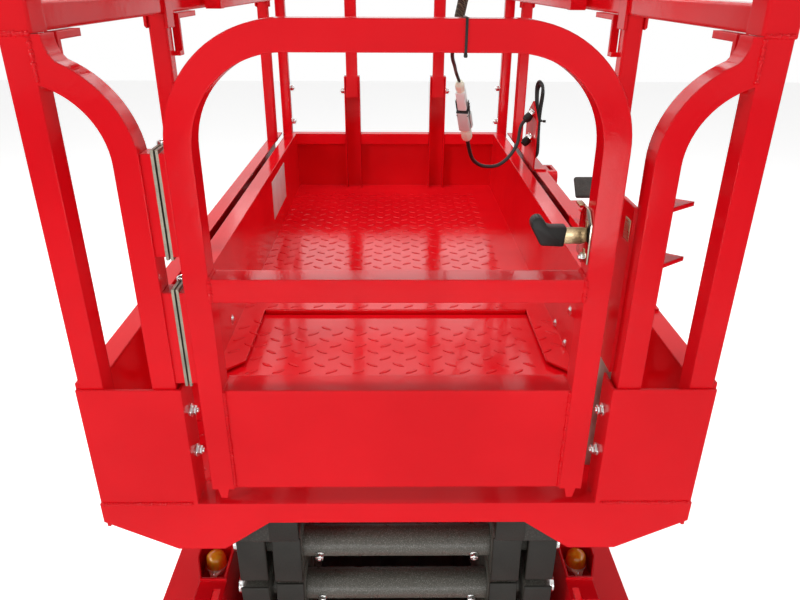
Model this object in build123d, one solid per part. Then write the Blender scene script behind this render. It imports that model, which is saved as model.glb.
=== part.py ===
from build123d import *
import math
import os

# Compact electric scissor lift, stowed. +Y is forward, the entry gate is at the rear (-Y), +Z up, mm.
# Origin on the ground below the middle of the machine.

# ---- driving dimensions -------------------------------------------------------------------------
overallLength = 1620.0
panelWidth = 760.0  # across the platform's side panels
fasciaWidth = 764.0
levels = 3
groundPinZ = 367.0  # lowest scissor pins
levelPitch = 84.0  # stowed height of one level
pinSpan = 1360.0  # pin to pin along one arm
scissorY = -684.0  # rear pin line
armWidth = 38.0
outerArmHeight = 78.0
innerArmHeight = 72.0
armOverhang = 38.0  # arm end beyond its pin
outerArmX = 199.5  # lane centres, from the middle plane
innerArmX = 151.0
lowerRoller = 35.0  # radii of the scissor's end rollers
upperRoller = 30.0
pinRadius = 15.0
pinClear = 0.4
pinHead = 13.0  # pin end beyond the outer arm
crossTubeRadius = 22.0
sheet = 4.0
tube = 28.0  # square rail tube of the lower guard rails
sleeve = 36.0  # square tube of the upper guard rails
tubeCorner = 4.0  # outside corner radius of the square tubes

platformRearY = -740.0
platformFrontY = 735.0
floorZ = 736.0
toeBoard = 180.0  # toe board height over the floor
midRailLow = 564.0  # over the floor
topRailHigh = 1100.0
postYs = (-300.0, 602.0)  # side posts ahead of the corner posts
bodyGap = 0.3  # between pieces that only rest against each other

# ---- worked out -----------------------------------------------------------------------------------
restAngle = math.degrees(math.asin(levelPitch / pinSpan))
frontPinY = scissorY + pinSpan * math.cos(math.radians(restAngle))
centreY = (scissorY + frontPinY) / 2
halfLength = overallLength / 2
halfPanel = panelWidth / 2
outerLane = (outerArmX - armWidth / 2, outerArmX + armWidth / 2)
innerLane = (innerArmX - armWidth / 2, innerArmX + armWidth / 2)
pinEnd = outerLane[1] + pinHead
topPinZ = groundPinZ + levels * levelPitch
cornerX = halfPanel - 4.0 - tube / 2  # centre line of the lower guard rail posts
postFrontY = platformRearY + 3 + tube  # front face of the corner posts
toeTop = floorZ + toeBoard


def pinZ(level):
    return groundPinZ + level * levelPitch


def block(x, y, z):
    return Pos((x[0] + x[1]) / 2, (y[0] + y[1]) / 2, (z[0] + z[1]) / 2) * Box(
        x[1] - x[0], y[1] - y[0], z[1] - z[0]
    )


def pair(shape):
    return [shape, shape.mirror(Plane.YZ)]


def bar(start, end, radius):
    # round bar between two points
    line = Vector(*end) - Vector(*start)
    return Plane(origin=Vector(*start), z_dir=line) * Cylinder(
        radius, line.length, align=(Align.CENTER, Align.CENTER, Align.MIN)
    )


def ring(start, end, outer, inner):
    return bar(start, end, outer) - bar(start, end, inner)


def plate(points, plane, thick, centred=False):
    face = plane * make_face(Polyline(*points, close=True))
    return extrude(face, thick / 2 if centred else thick, both=centred)


def tubeBar(x, y, z):
    # square tube run: a block with its long edges rounded
    shape = block(x, y, z)
    spans = {Axis.X: x[1] - x[0], Axis.Y: y[1] - y[0], Axis.Z: z[1] - z[0]}
    along = max(spans, key=spans.get)
    return fillet(shape.edges().filter_by(along), tubeCorner)


def onSide(side):
    # block and tube makers that mirror their X span to the given side
    def turned(maker):
        def make(x, y, z):
            return maker(tuple(sorted((side * x[0], side * x[1]))), y, z)

        return make

    return turned(block), turned(tubeBar)


nodes = {}


def keep(name, *shapes):
    solids = [s for shape in shapes for s in shape.solids()]
    nodes[name] = Compound(children=solids) if len(solids) > 1 else solids[0]


# ---- chassis ----------------------------------------------------------------------------------------
frameX = 253.0  # outside of the channel that the scissor stack folds into
frameWall = 6.0
frameFloorZ = (284.0, 292.0)
frameEndY = 735.0
wallTopZ = 440.0
bodyX = 405.0
towerX = (frameX - frameWall, 300.0)
pocketY = (627.0, 700.0)  # beacon pocket in the corner tower
towerTopZ = 560.0
pocketFloorZ = 521.0
shelfX = 287.0  # outer side of the shelf between the pocket and the frame's end
shelfTopZ = 555.0
deckZ = (366.0, 372.0)
skirtLowZ = 262.0
archY = 402.0  # inner end of the wheel housings
wheelRadius = 127.0
wheelWidth = 90.0
wheelX = 352.0
axleY = 560.0
kingpinX = 262.0
kingpinRadius = 13.0

trayY = 380.0
trayX = (frameX + 6, bodyX)
trayZ = (100.0, deckZ[0])
hingePinX = bodyX - 12
hingePinY = trayY - 12
trayPinRadius = 6.0


def towerOutline(inset):
    # section of the beacon pocket in the +X +Y corner
    x0, x1 = towerX
    y0, y1 = pocketY
    points = [(x0, y0), (x1 - 14, y0), (x1, y0 + 14), (x1, y0 + 31), (x1 - 14, y1), (x0, y1)]
    return offset(make_face(Polyline(*points, close=True)), -inset, kind=Kind.INTERSECTION)


def cornerTower(side, end):
    outer = extrude(Plane.XY.offset(deckZ[1]) * towerOutline(0), towerTopZ - deckZ[1])
    outer -= extrude(Plane.XY.offset(pocketFloorZ) * towerOutline(3), towerTopZ)
    outer -= extrude(Plane.XY.offset(deckZ[1]) * towerOutline(3), pocketFloorZ - 3 - deckZ[1])
    shelf = block((towerX[0], shelfX), (pocketY[1] - 1, frameEndY), (deckZ[1], shelfTopZ))
    inside = (towerX[0] + 3, shelfX - 3)
    shelf -= block(inside, (pocketY[1] + 2, frameEndY + 1), (deckZ[1] - 1, shelfTopZ - 3))
    # lashing slot, open to the frame's end
    slot = (inside[0], inside[0] + 13)
    shelf -= block(slot, (pocketY[1] + 14, frameEndY + 1), (shelfTopZ - 60, shelfTopZ + 1))
    tower = outer + shelf
    if side < 0:
        tower = tower.mirror(Plane.YZ)
    if end < 0:
        tower = tower.mirror(Plane.XZ)
    return tower


def chassisFrame():
    shape = block((-frameX, frameX), (-frameEndY, frameEndY), frameFloorZ)
    for side in (-1, 1):
        part, _ = onSide(side)
        shape += part((frameX - frameWall, frameX), (-frameEndY, frameEndY), (frameFloorZ[0], wallTopZ))
        for end in (-1, 1):

            def endPart(x, y, z):
                return part(x, tuple(sorted((end * y[0], end * y[1]))), z)

            # wheel housing: deck, outer skirt and inner rib
            shape += endPart((frameX, bodyX), (archY, frameEndY), deckZ)
            shape += endPart((bodyX - frameWall, bodyX), (archY, frameEndY), (skirtLowZ, deckZ[1]))
            shape += endPart((frameX, bodyX), (archY, archY + frameWall), (skirtLowZ, deckZ[1]))
            # ear over the end of the swing-out tray, with the tray's hinge pin at the front
            ear = (trayZ[1] + bodyGap, deckZ[1])
            shape += endPart((hingePinX - 12, bodyX), (hingePinY - 12, archY + 1), ear)
            if end > 0:
                pin = (side * hingePinX, end * hingePinY)
                shape += bar((*pin, trayZ[1] - 12), (*pin, deckZ[1]), trayPinRadius)
            shape += cornerTower(side, end)
            shape += endPart((frameX - frameWall, frameX), (pocketY[0], frameEndY), (wallTopZ, shelfTopZ))
        # rear bottom pin, its lug and the pad under the front rollers
        lugX = (innerLane[1] - 10, innerLane[1] + 2)
        pin = (scissorY, groundPinZ)
        shape += bar((side * lugX[0], *pin), (side * frameX, *pin), pinRadius)
        shape += part(lugX, (scissorY - 32, scissorY + 32), (frameFloorZ[1], groundPinZ + 24))
        padTop = groundPinZ - lowerRoller - pinClear
        shape += part(outerLane, (-20, 722), (frameFloorZ[1], padTop))
        # kingpin and its plate
        low = frameFloorZ[0]
        shape += bar((side * kingpinX, axleY, 190), (side * kingpinX, axleY, low), kingpinRadius)
        shape += part((215, 300), (axleY - 45, axleY + 45), (low - 6, low))
    return shape


def endCover():
    # front cover: a folded plate box across the full width with rounded vertical corners
    outer = block((-bodyX, bodyX), (frameEndY, halfLength), (110, deckZ[1]))
    outer = fillet(outer.edges().filter_by(Axis.Z).group_by(Axis.Y)[-1], 35)
    inner = block((-bodyX + 4, bodyX - 4), (frameEndY - 1, halfLength - 4), (105, deckZ[1] - 4))
    return outer - inner


def ladder():
    cover = endCover().rotate(Axis.Z, 180)
    # step slots let into the rear cover
    for z in (165, 265):
        cover -= block((-170, 170), (-halfLength - 1, -halfLength + 20), (z, z + 60))
        cover += block((-178, 178), (-halfLength + 3, -frameEndY), (z - 4, z))
    # notches that the ends of the lowest arms turn through
    for side in (-1, 1):
        part, _ = onSide(side)
        lane = (outerLane[0] - 5, outerLane[1] + 5)
        cover -= part(lane, (-frameEndY - 12, -frameEndY + 1), (deckZ[0] - 20, deckZ[1] + 1))
    return cover


def rearAxle():
    beam = block((-262, 262), (-axleY - 30, -axleY + 30), (97, 157))
    for side in (-1, 1):
        x = sorted((side * 246, side * 262))
        beam += block(tuple(x), (-axleY - 55, -axleY + 55), (97, frameFloorZ[0]))
        beam += bar((side * 255, -axleY, wheelRadius), (side * (wheelX + 37), -axleY, wheelRadius), 15)
    return beam


def wheel(x, y):
    side = 1 if x > 0 else -1
    half = wheelWidth / 2
    rimRadius = 84.0
    # tyre section across its width, turned about the axle
    profile = [
        (-half + 6, rimRadius),
        (-half, rimRadius + 8),
        (-half, wheelRadius - 14),
        (-half + 14, wheelRadius),
        (half - 14, wheelRadius),
        (half, wheelRadius - 14),
        (half, rimRadius + 8),
        (half - 6, rimRadius),
    ]
    tyre = revolve(Plane.XY * make_face(Polyline(*profile, close=True)), Axis.X)
    rimProfile = [
        (-half + 8, rimRadius),
        (-half + 8, rimRadius - 8),
        (-6, rimRadius - 14),
        (-6, 36),
        (-20, 36),
        (-20, 15 + pinClear),
        (30, 15 + pinClear),
        (30, 34),
        (10, 40),
        (10, rimRadius - 16),
        (half - 8, rimRadius - 8),
        (half - 8, rimRadius),
    ]
    rim = revolve(Plane.XY * make_face(Polyline(*rimProfile, close=True)), Axis.X)
    for n in range(5):
        rim -= Rot(n * 72, 0, 0) * Pos(0, 0, 55) * Rot(0, 90, 0) * Cylinder(8, 60)
    place = Pos(x, y, wheelRadius) * Rot(0, 0, 0 if side > 0 else 180)
    return place * tyre, place * rim


def knuckle(side):
    # kingpin tube, motor drum on the wheel side and the steering arm behind
    top, low = 277.0, 60.0
    x = side * kingpinX
    shape = bar((x, axleY, 185), (x, axleY, top - 0.4), 22)
    shape += block(tuple(sorted((x - side * 6, x + side * 22))), (axleY - 30, axleY + 30), (90, top - 20))
    shape += bar((x, axleY, wheelRadius), (x + side * 22, axleY, wheelRadius), 55)
    shape += bar((x + side * 20, axleY, wheelRadius), (side * (wheelX + 37), axleY, wheelRadius), 15)
    shape += block(tuple(sorted((x - 18, x + 18))), (axleY - 92, axleY), (215, 227))
    shape -= bar((x, axleY, 180), (x, axleY, top + 1), kingpinRadius + pinClear)
    return shape


steerY = axleY - 150.0
steerZ = 236.0


def steeringCylinder():
    barrel = ring((-95, steerY, steerZ), (95, steerY, steerZ), 26, 10 + pinClear)
    for side in (-1, 1):
        x = sorted((side * 60, side * 72))
        barrel += block(tuple(x), (steerY - 26, steerY + 26), (steerZ + 20, frameFloorZ[0])) - bar(
            (-95, steerY, steerZ), (95, steerY, steerZ), 12
        )
    return barrel


def steeringRod():
    return bar((-185, steerY, steerZ), (185, steerY, steerZ), 10)


# ---- trays ------------------------------------------------------------------------------------------
def tray(side):
    x0, x1 = trayX
    outer = block((x0, x1), (-trayY, trayY), trayZ)
    outer = fillet(outer.edges().filter_by(Axis.Z).group_by(Axis.X)[-1], 12)
    inner = block((x0 - 1, x1 - 4), (-trayY + 4, trayY - 4), (trayZ[0] + 4, trayZ[1] - 4))
    shape = outer - inner
    pin = (hingePinX, hingePinY)
    shape -= bar((*pin, trayZ[1] - 20), (*pin, trayZ[1] + 1), trayPinRadius + pinClear)
    return shape if side > 0 else shape.mirror(Plane.YZ)


def trayLoad(side, spans, top):
    x0, x1 = trayX
    blocks = []
    for y0, y1 in spans:
        one = block((x0 + 4, x1 - 12), (y0, y1), (trayZ[0] + 4, top))
        blocks.append(one if side > 0 else one.mirror(Plane.YZ))
    return blocks


guardZ = frameFloorZ[0] - 8.4


def potholeGuard(side):
    # pothole guard: hinged along its upper edge under the frame, shown folded up
    x0, x1 = sorted((side * 150, side * 240))
    shape = block((x0, x1), (-trayY + 20, 330), (guardZ - 4, guardZ + 4))
    return shape + bar((side * 240, -trayY + 20, guardZ), (side * 240, 330, guardZ), 8)


# ---- scissor arms -----------------------------------------------------------------------------------
def armBar(x, risesForward, lowZ, height):
    # one arm, lower pin to upper pin, as a capped rectangular tube with bores for its three pins
    shape = Box(armWidth, pinSpan + 2 * armOverhang, height)
    shape = fillet(shape.edges().filter_by(Axis.Y), 6)
    tilt = restAngle if risesForward else -restAngle
    shape = Pos(x, centreY, lowZ + levelPitch / 2) * Rot(tilt, 0, 0) * shape
    for y, z in armPins(risesForward, lowZ):
        shape -= bar((x - armWidth, y, z), (x + armWidth, y, z), pinRadius + pinClear)
    return shape


def armPins(risesForward, lowZ):
    rear = lowZ if risesForward else lowZ + levelPitch
    front = lowZ + levelPitch if risesForward else lowZ
    return ((scissorY, rear), (centreY, lowZ + levelPitch / 2), (frontPinY, front))


def outerArms(level):
    return [armBar(side * outerArmX, True, pinZ(level - 1), outerArmHeight) for side in (-1, 1)]


def innerArms(level):
    return [armBar(side * innerArmX, False, pinZ(level - 1), innerArmHeight) for side in (-1, 1)]


cylinderBase = 1130.0  # along the first inner arm from its lower pin
cylinderTip = 230.0  # along the third inner arm from its lower pin


def pointOnInner(level, along):
    angle = math.radians(restAngle)
    return (
        scissorY + (pinSpan - along) * math.cos(angle),
        pinZ(level - 1) + along * math.sin(angle),
    )


pinSeat = 95.0  # inner end of a pin inside its cross tube


def crossTubes(level):
    # tubes between the inner arms with a pin bolted into each end; where the lift cylinder needs the
    # room there are only the two short pins
    rear, centre, front = armPins(False, pinZ(level - 1))
    innerFace = innerLane[0]
    shapes = []
    for name, (y, z) in (("rear", rear), ("centre", centre), ("front", front)):
        tubeHere = (name, level) not in (("centre", 2), ("front", 3))
        outer = outerLane[1] - 2 if (name, level) == ("front", 1) else pinEnd
        if tubeHere:
            shapes.append(ring((-innerFace, y, z), (innerFace, y, z), crossTubeRadius, pinRadius + 0.2))
        inner = pinSeat if tubeHere else innerFace + 2
        for side in (-1, 1):
            shapes.append(bar((side * inner, y, z), (side * outer, y, z), pinRadius))
    if level == 1:
        y, z = pointOnInner(1, cylinderBase)
        shapes.append(bar((-innerFace, y, z), (innerFace, y, z), crossTubeRadius))
    return shapes


def lowerRollers():
    # on the front ends of the first inner arms, running on the pads in the chassis
    x0, x1 = outerLane[0] + 5, outerLane[1] - 5
    roller = ring((x0, frontPinY, groundPinZ), (x1, frontPinY, groundPinZ), lowerRoller, pinRadius)
    return pair(roller)


def upperRollers():
    # on pins in the front ends of the last outer arms, running under the rails of the platform
    x0, x1 = innerLane[0] + 5, innerLane[1] - 5
    roller = bar((x0, frontPinY, topPinZ), (x1, frontPinY, topPinZ), upperRoller)
    return pair(roller + bar((x0, frontPinY, topPinZ), (pinEnd, frontPinY, topPinZ), pinRadius))


def liftCylinder():
    base = pointOnInner(1, cylinderBase)
    tip = pointOnInner(3, cylinderTip)
    dy, dz = tip[0] - base[0], tip[1] - base[1]
    length = math.hypot(dy, dz)
    u = (dy / length, dz / length)

    def at(d):
        return (0, base[0] + u[0] * d, base[1] + u[1] * d)

    barrel = ring(at(34), at(length - 42), 36, 26)
    barrel += bar(at(24), at(44), 36) + ring(at(length - 60), at(length - 42), 36, 22 + pinClear)
    barrel += bar((-34, *base), (34, *base), 30)
    barrel -= bar((-40, *base), (40, *base), crossTubeRadius + pinClear)
    rod = bar(at(60), at(length), 22) + bar((-innerLane[0] + 0.4, *tip), (innerLane[0] - 0.4, *tip), 24)
    return barrel, rod


# ---- platform ---------------------------------------------------------------------------------------
extWallX = 310.0
extLaneX = (extWallX, extWallX + tube)
extPostX = (318.0, 318.0 + tube)
extLow = floorZ + 6.0
extRearY = platformRearY + 341
extFloorY = platformRearY + 550
lipX = (352.0, halfPanel)
railLaneX = (cornerX - tube / 2, cornerX + tube / 2)
sleeveLaneX = (cornerX - sleeve / 2, cornerX + sleeve / 2)
deckLow = floorZ - sheet


def platformDeck():
    y0, y1 = platformRearY, platformFrontY - 10
    shape = block((-halfPanel + 4, halfPanel - 4), (y0 + 5, y1), (deckLow, floorZ))
    for side in (-1, 1):
        part, _ = onSide(side)
        shape += part((halfPanel - 4, halfPanel), (y0 + 3, y1), (floorZ - 40, toeTop))
        shape += part(lipX, (postFrontY, y1), (toeTop - 4, toeTop))
        shape += part((250, 290), (y0 + 5, y1), (floorZ - 44, deckLow))
        # glide strip under the extension
        shape += part((272, 292), (extRearY + 10, y1), (floorZ, extLow - bodyGap))
        # folded rear corner panel
        shape += part((256, halfPanel), (y0, y0 + 3), (floorZ, toeTop - 8))
        shape += part((256, 259), (y0, y0 + 40), (floorZ, toeTop - 8))
    outline = [
        (-382, 0), (-382, -30), (-291, -77), (-229, -77), (-167, -32),
        (167, -32), (229, -77), (291, -77), (382, -30), (382, 0),
    ]
    rear = Plane(origin=(0, y0, floorZ), x_dir=(1, 0, 0), z_dir=(0, -1, 0))
    return shape + plate(outline, rear, -5)


def platformBrackets():
    # box over each top rear pin, cover plate behind it and the rail over the top rollers
    shapes = []
    for side in (-1, 1):
        part, _ = onSide(side)
        box = part((outerLane[0] + 4, outerLane[1]), (scissorY - 37, scissorY + 29), (topPinZ - 36, deckLow))
        x0, x1 = side * (outerLane[0] - 1), side * (outerLane[1] + 1)
        shapes.append(box - bar((x0, scissorY, topPinZ), (x1, scissorY, topPinZ), pinRadius + pinClear))
        cover = (topPinZ + 47, deckLow)
        shapes.append(part((innerLane[0], outerLane[1]), (scissorY - 51, scissorY - 44), cover))
        rail = (topPinZ + upperRoller + pinClear, deckLow)
        shapes.append(part((innerLane[0] + 5, innerLane[1] - 5), (-20, platformFrontY - 10), rail))
    return shapes


def gateFrames():
    # corner post, quarter arc, hinge or latch tube and gusset on each side of the gate
    y0 = platformRearY + 3
    outerR = 110.0
    x0 = 262.0
    arcX, arcZ = x0 + outerR, floorZ + 439
    railZ = floorZ + midRailLow
    plane = Plane(origin=(0, y0, 0), x_dir=(1, 0, 0), z_dir=(0, -1, 0))
    with BuildSketch(plane) as sketch:
        with BuildLine():
            Line((x0, floorZ), (x0, arcZ))
            RadiusArc((x0, arcZ), (arcX, arcZ + outerR), outerR)
            Line((arcX, arcZ + outerR), (arcX, arcZ + outerR - tube))
            RadiusArc((arcX, arcZ + outerR - tube), (x0 + tube, arcZ), -(outerR - tube))
            Line((x0 + tube, arcZ), (x0 + tube, floorZ))
            Line((x0 + tube, floorZ), (x0, floorZ))
        make_face()
    with BuildSketch(plane) as web:
        with BuildLine():
            Line((railLaneX[0] + 1, railZ), (railLaneX[0] - 12, railZ))
            ThreePointArc((railLaneX[0] - 12, railZ), (x0 + 71, railZ - 16), (x0 + 60, arcZ + 96))
            Line((x0 + 60, arcZ + 96), (railLaneX[0] + 1, arcZ + 100))
            Line((railLaneX[0] + 1, arcZ + 100), (railLaneX[0] + 1, railZ))
        make_face()
    arch = extrude(sketch.sketch, -tube) + extrude(web.sketch, -tube)
    arch += block(railLaneX, (y0, y0 + tube), (floorZ, railZ))
    arch += tabBracket(y0 + tube, railZ - 56, 50)
    left = arch.mirror(Plane.YZ)
    # strike plate and two tabs on the latch side only
    strike = block((x0 - 4, x0), (postFrontY - 3, postFrontY + 41), (toeTop, floorZ + 388))
    strike -= block((x0 - 5, x0 + 1), (postFrontY + 9, postFrontY + 21), (floorZ + 345, floorZ + 371))
    right = arch + strike
    for z in (floorZ + 326, floorZ + 390):
        tab = [(x0 + tube, y0 + 2), (x0 + tube, y0 + 47), (x0 + tube + 32, y0 + 25)]
        right += plate(tab, Plane.XY.offset(z), 5)
    return [left, right]


def tabBracket(y, z, reach):
    # flat bar that leaves a post forward, turns up and ends as a tab under the mid rail
    x = (railLaneX[0] - 8, railLaneX[0] + 4)
    top = floorZ + midRailLow - bodyGap
    shape = block(x, (y, y + 21), (z, z + 7)) + block(x, (y + 14, y + 21), (z, top))
    return shape + block(x, (y + 14, y + 21 + reach), (top - 8, top))


def sideRails():
    y0 = platformRearY + 3 + sleeve
    y1 = postYs[1] + tube / 2
    z0 = floorZ + midRailLow
    shape = tubeBar(railLaneX, (y0, y1), (z0, z0 + tube))
    for y in postYs:
        shape += tubeBar(railLaneX, (y - tube / 2, y + tube / 2), (toeTop, z0 + 2))
    shape += tabBracket(postYs[0] + tube / 2, z0 - 62, 93)
    return pair(shape)


def upperRails():
    lane = sleeveLaneX
    y0 = platformRearY + 3
    z0, z1 = floorZ + midRailLow, floorZ + topRailHigh
    shape = tubeBar((-lane[1], lane[1]), (y0, y0 + sleeve), (z1 - sleeve, z1))
    for side in (-1, 1):
        part, run = onSide(side)
        shape += run(lane, (y0, postYs[1] + sleeve / 2), (z1 - sleeve, z1))
        shape += run(lane, (y0, y0 + sleeve), (z0 + bodyGap, z1))
        for y in postYs:
            span = (y - sleeve / 2, y + sleeve / 2)
            shape += run(lane, span, (z0 + tube, z1))
            # cheeks that reach down over the mid rail
            cheeks = part(lane, span, (z0 - 20, z0 + tube + 6)) - part(railLaneX, span, (z0 - 21, z0 + tube))
            low = [edge for edge in cheeks.edges().filter_by(Axis.Y) if edge.center().Z < z0 - 19]
            shape += chamfer([edge for edge in low if abs(edge.center().X) > lane[1] - 1], 3)
    return shape


# ---- extension deck ---------------------------------------------------------------------------------
socketX = (106.0, 153.0)


def extensionDeck():
    y1 = platformFrontY
    y0 = y1 - 32
    outer = extPostX[1]
    shape = block((-extWallX, extWallX), (extFloorY, y1), (extLow, extLow + sheet))
    # front wall, its folded top and the return behind
    shape += block((-outer, outer), (y1 - 4, y1), (extLow, toeTop))
    fold = block((-outer, outer), (y0, y1), (toeTop - 4, toeTop))
    fold += block((-outer, outer), (y0, y0 + 4), (toeTop - 32, toeTop))
    for side in (-1, 1):
        part, _ = onSide(side)
        shape += part((extWallX - 4, extWallX), (extRearY, y1), (extLow, toeTop))
        shape += part((extWallX - 4, extLaneX[1]), (extRearY, y0), (toeTop - 4, toeTop))
        flange = [
            (side * 263, extRearY + 7), (side * 297, extRearY - 29), (side * extWallX, extRearY - 29),
            (side * extWallX, extFloorY), (side * 263, extFloorY),
        ]
        shape += plate(flange, Plane.XY.offset(extLow), sheet)
        # open-topped post socket on the front wall
        low, high = extLow + sheet, floorZ + 350
        fold -= part((socketX[0] - 1, socketX[1] + 1), (y0 - 1, y1 - 4), (toeTop - 33, toeTop + 1))
        shape += part(socketX, (y1 - 36, y1 - 2), (low, high)) - part(
            (socketX[0] + 3, socketX[1] - 3), (y1 - 37, y1 - 5), (low - 1, high + 1)
        )
    return shape + fold


def extensionRails():
    y0, y1 = platformFrontY - 4 - tube, platformFrontY - 4
    z1 = floorZ + topRailHigh - 8
    zMid = floorZ + midRailLow
    rearY = -110.0
    shape = tubeBar((-extPostX[1], extPostX[1]), (y0, y1), (z1 - tube, z1))
    shape += tubeBar((-extPostX[1], extPostX[1]), (y0, y1), (zMid, zMid + tube))
    for side in (-1, 1):
        _, run = onSide(side)
        shape += run(extPostX, (y0, y1), (toeTop, z1))
        shape += run(extLaneX, (rearY, rearY + tube), (zMid, z1))
        shape += run(extLaneX, (rearY, y0 + 6), (z1 - tube, z1))
        shape += run(extLaneX, (rearY, y0 + 6), (zMid, zMid + tube))
        # middle post with its thicker foot in the socket
        middle = sum(socketX) / 2
        lane = (middle - 17, middle + 17)
        shape += run(lane, (y0 + 2, y1 - 2), (floorZ + 289, z1 - 2))
        foot = (socketX[0] + 3 + bodyGap, socketX[1] - 3 - bodyGap)
        shape += run(foot, (y0, y1 - 2), (floorZ + 289, floorZ + 350))
    return shape


# ---- gate -------------------------------------------------------------------------------------------
gateX = 236.0
gateZ = (floorZ + 21, floorZ + 579)
gateRadius = 125.0
gateTopBar = 30.5
gateY = platformRearY + 3.0
hingeX = -247.0
hingeY = gateY + tube + 5.0
hingeSpans = ((floorZ + 175, floorZ + 300), (floorZ + 335, floorZ + 455))
knuckleRadius = 5.5


def gate():
    plane = Plane(origin=(0, gateY, 0), x_dir=(1, 0, 0), z_dir=(0, -1, 0))

    def outline(inset, z1, low):
        x, r = gateX - inset, gateRadius - inset
        with BuildSketch(plane) as sketch:
            with BuildLine():
                Line((-x, low), (-x, z1 - r))
                RadiusArc((-x, z1 - r), (-x + r, z1), r)
                Line((-x + r, z1), (x - r, z1))
                RadiusArc((x - r, z1), (x, z1 - r), r)
                Line((x, z1 - r), (x, low))
                Line((x, low), (-x, low))
            make_face()
        return sketch.sketch

    shape = extrude(outline(0, gateZ[1], gateZ[0]), -tube)
    shape -= extrude(outline(tube, gateZ[1] - gateTopBar, gateZ[0] - 1), -tube)
    inner = gateX - tube
    shape += block((-inner, inner), (gateY, gateY + tube), (floorZ + 285, floorZ + 313))
    # kick panel with its folded top, and a small tab under each stile
    shape += block((-inner, inner), (gateY + 4, gateY + 7), (gateZ[0], floorZ + 167))
    shape += block((-inner, inner), (gateY + 4, gateY + 40), (floorZ + 164, floorZ + 167))
    for x in (-gateX + tube / 2, gateX - tube / 2):
        tab = [(x - 7, gateZ[0]), (x + 7, gateZ[0]), (x + 4, gateZ[0] - 14), (x - 4, gateZ[0] - 14)]
        shape += plate(tab, plane, -4)
    return shape


def hingeLeaf(x, span, knuckles):
    # leaf with its knuckles, clear of the other leaf's
    leaf = block(x, (hingeY - 31, hingeY - 6), span)
    for z0, z1 in knuckles:
        knuckle = block(x, (hingeY - 6, hingeY), (z0, z1)) + bar(
            (hingeX, hingeY, z0), (hingeX, hingeY, z1), knuckleRadius
        )
        leaf += knuckle
    return leaf


def hingeParts(span):
    z0, z1 = span
    third = (z1 - z0) / 3
    return [(z0, z0 + third - 0.4), (z1 - third + 0.4, z1)], [(z0 + third, z1 - third)]


def gateHinges():
    # middle knuckle, leaf and spacer that turn with the gate
    shapes = []
    for span in hingeSpans:
        leaf = hingeLeaf((hingeX + 1, hingeX + 4), span, hingeParts(span)[1])
        leaf -= bar((hingeX, hingeY, span[0]), (hingeX, hingeY, span[1]), 2.5)
        spacer = block((hingeX + 4, -gateX), (hingeY - 31, hingeY - 7), (span[0] + 4, span[1] - 4))
        shapes.append(leaf + spacer)
    return shapes


def frameHinges():
    # outer knuckles, pin, leaf and spacer on the frame's tube
    shapes = []
    for span in hingeSpans:
        leaf = hingeLeaf((hingeX - 4, hingeX - 1), span, hingeParts(span)[0])
        leaf += bar((hingeX, hingeY, span[0]), (hingeX, hingeY, span[1]), 2.1)
        spacer = block((-262, hingeX - 4), (hingeY - 31, hingeY - 7), (span[0] + 4, span[1] - 4))
        shapes.append(leaf + spacer)
    return shapes


def gateLatch():
    # plate on the stile's inner face, the flat lever through it and the grip
    x1 = gateX - tube
    profile = [
        (gateY + 2, floorZ + 330), (gateY + 47, floorZ + 330), (gateY + 47, floorZ + 376),
        (gateY + 35, floorZ + 388), (gateY + 14, floorZ + 388), (gateY + 2, floorZ + 376),
    ]
    shape = plate(profile, Plane.YZ.offset(x1 - 2.5), 2.5)
    y = gateY + 37
    shape += block((x1 - 22, x1 + 2), (y - 2, y + 2), (floorZ + 342, floorZ + 361))
    grip = [
        (x1 - 20, floorZ + 342), (x1 - 20, floorZ + 362), (x1 - 44, floorZ + 364), (x1 - 49, floorZ + 375),
        (x1 - 57, floorZ + 375), (x1 - 60, floorZ + 366), (x1 - 48, floorZ + 342),
    ]
    return shape + plate(grip, Plane(origin=(0, y, 0), x_dir=(1, 0, 0), z_dir=(0, -1, 0)), 16, centred=True)


# ---- fittings on the platform -------------------------------------------------------------------------
def controlBox():
    y0 = platformRearY + 3 + sleeve
    box = block((20, 175), (y0, y0 + 120), (floorZ + 900, floorZ + topRailHigh - 60))
    box += block((50, 145), (y0, y0 + 60), (floorZ + topRailHigh - 60, floorZ + topRailHigh + 3))
    hook = block((60, 135), (platformRearY - 2, y0 + 60), (floorZ + topRailHigh, floorZ + topRailHigh + 4))
    return box + hook


connectorTop = (128.6, -20.0, 1166.6)
connectorLow = (161.7, 80.0, 1025.0)
bracketEntry = (322.0, 296.0, 1040.0)


def cordTube(points, diameter):
    runs = [math.dist(a, b) for a, b in zip(points, points[1:])]
    radii = []
    for i in range(1, len(points) - 1):
        a = Vector(*points[i]) - Vector(*points[i - 1])
        b = Vector(*points[i + 1]) - Vector(*points[i])
        turn = math.radians(a.get_angle(b))
        radii.append(0.45 * min(runs[i - 1], runs[i]) / math.tan(turn / 2))
    path = FilletPolyline(*points, radius=radii)
    print("cord radii", [round(r) for r in radii], "length", round(path.length))
    start = Vector(*points[1]) - Vector(*points[0])
    section = Plane(origin=Vector(*points[0]), z_dir=start) * Circle(diameter / 2)
    return sweep(section, path=path)


cordDiameter = 8.0
upperCordPoints = [
    (96, -600, 1636), (96, -600, 1590), (96, -575, 1530), (96, -535, 1470), (96, -480, 1415),
    (97, -425, 1372), (98, -370, 1347), (98, -330, 1322), (93, -305, 1285), (89, -282, 1250),
    (92, -240, 1226), (100, -180, 1212), (109, -110, 1210), (117, -55, 1200), connectorTop,
]
lowerCordPoints = [
    connectorLow, (169, 102, 994), (180, 130, 970), (201, 160, 952), (226, 190, 942), (253, 220, 938),
    (281, 250, 950), (306, 276, 979), (309, 286, 1010), (313.2, 293.6, 1031.2), bracketEntry,
]


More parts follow.
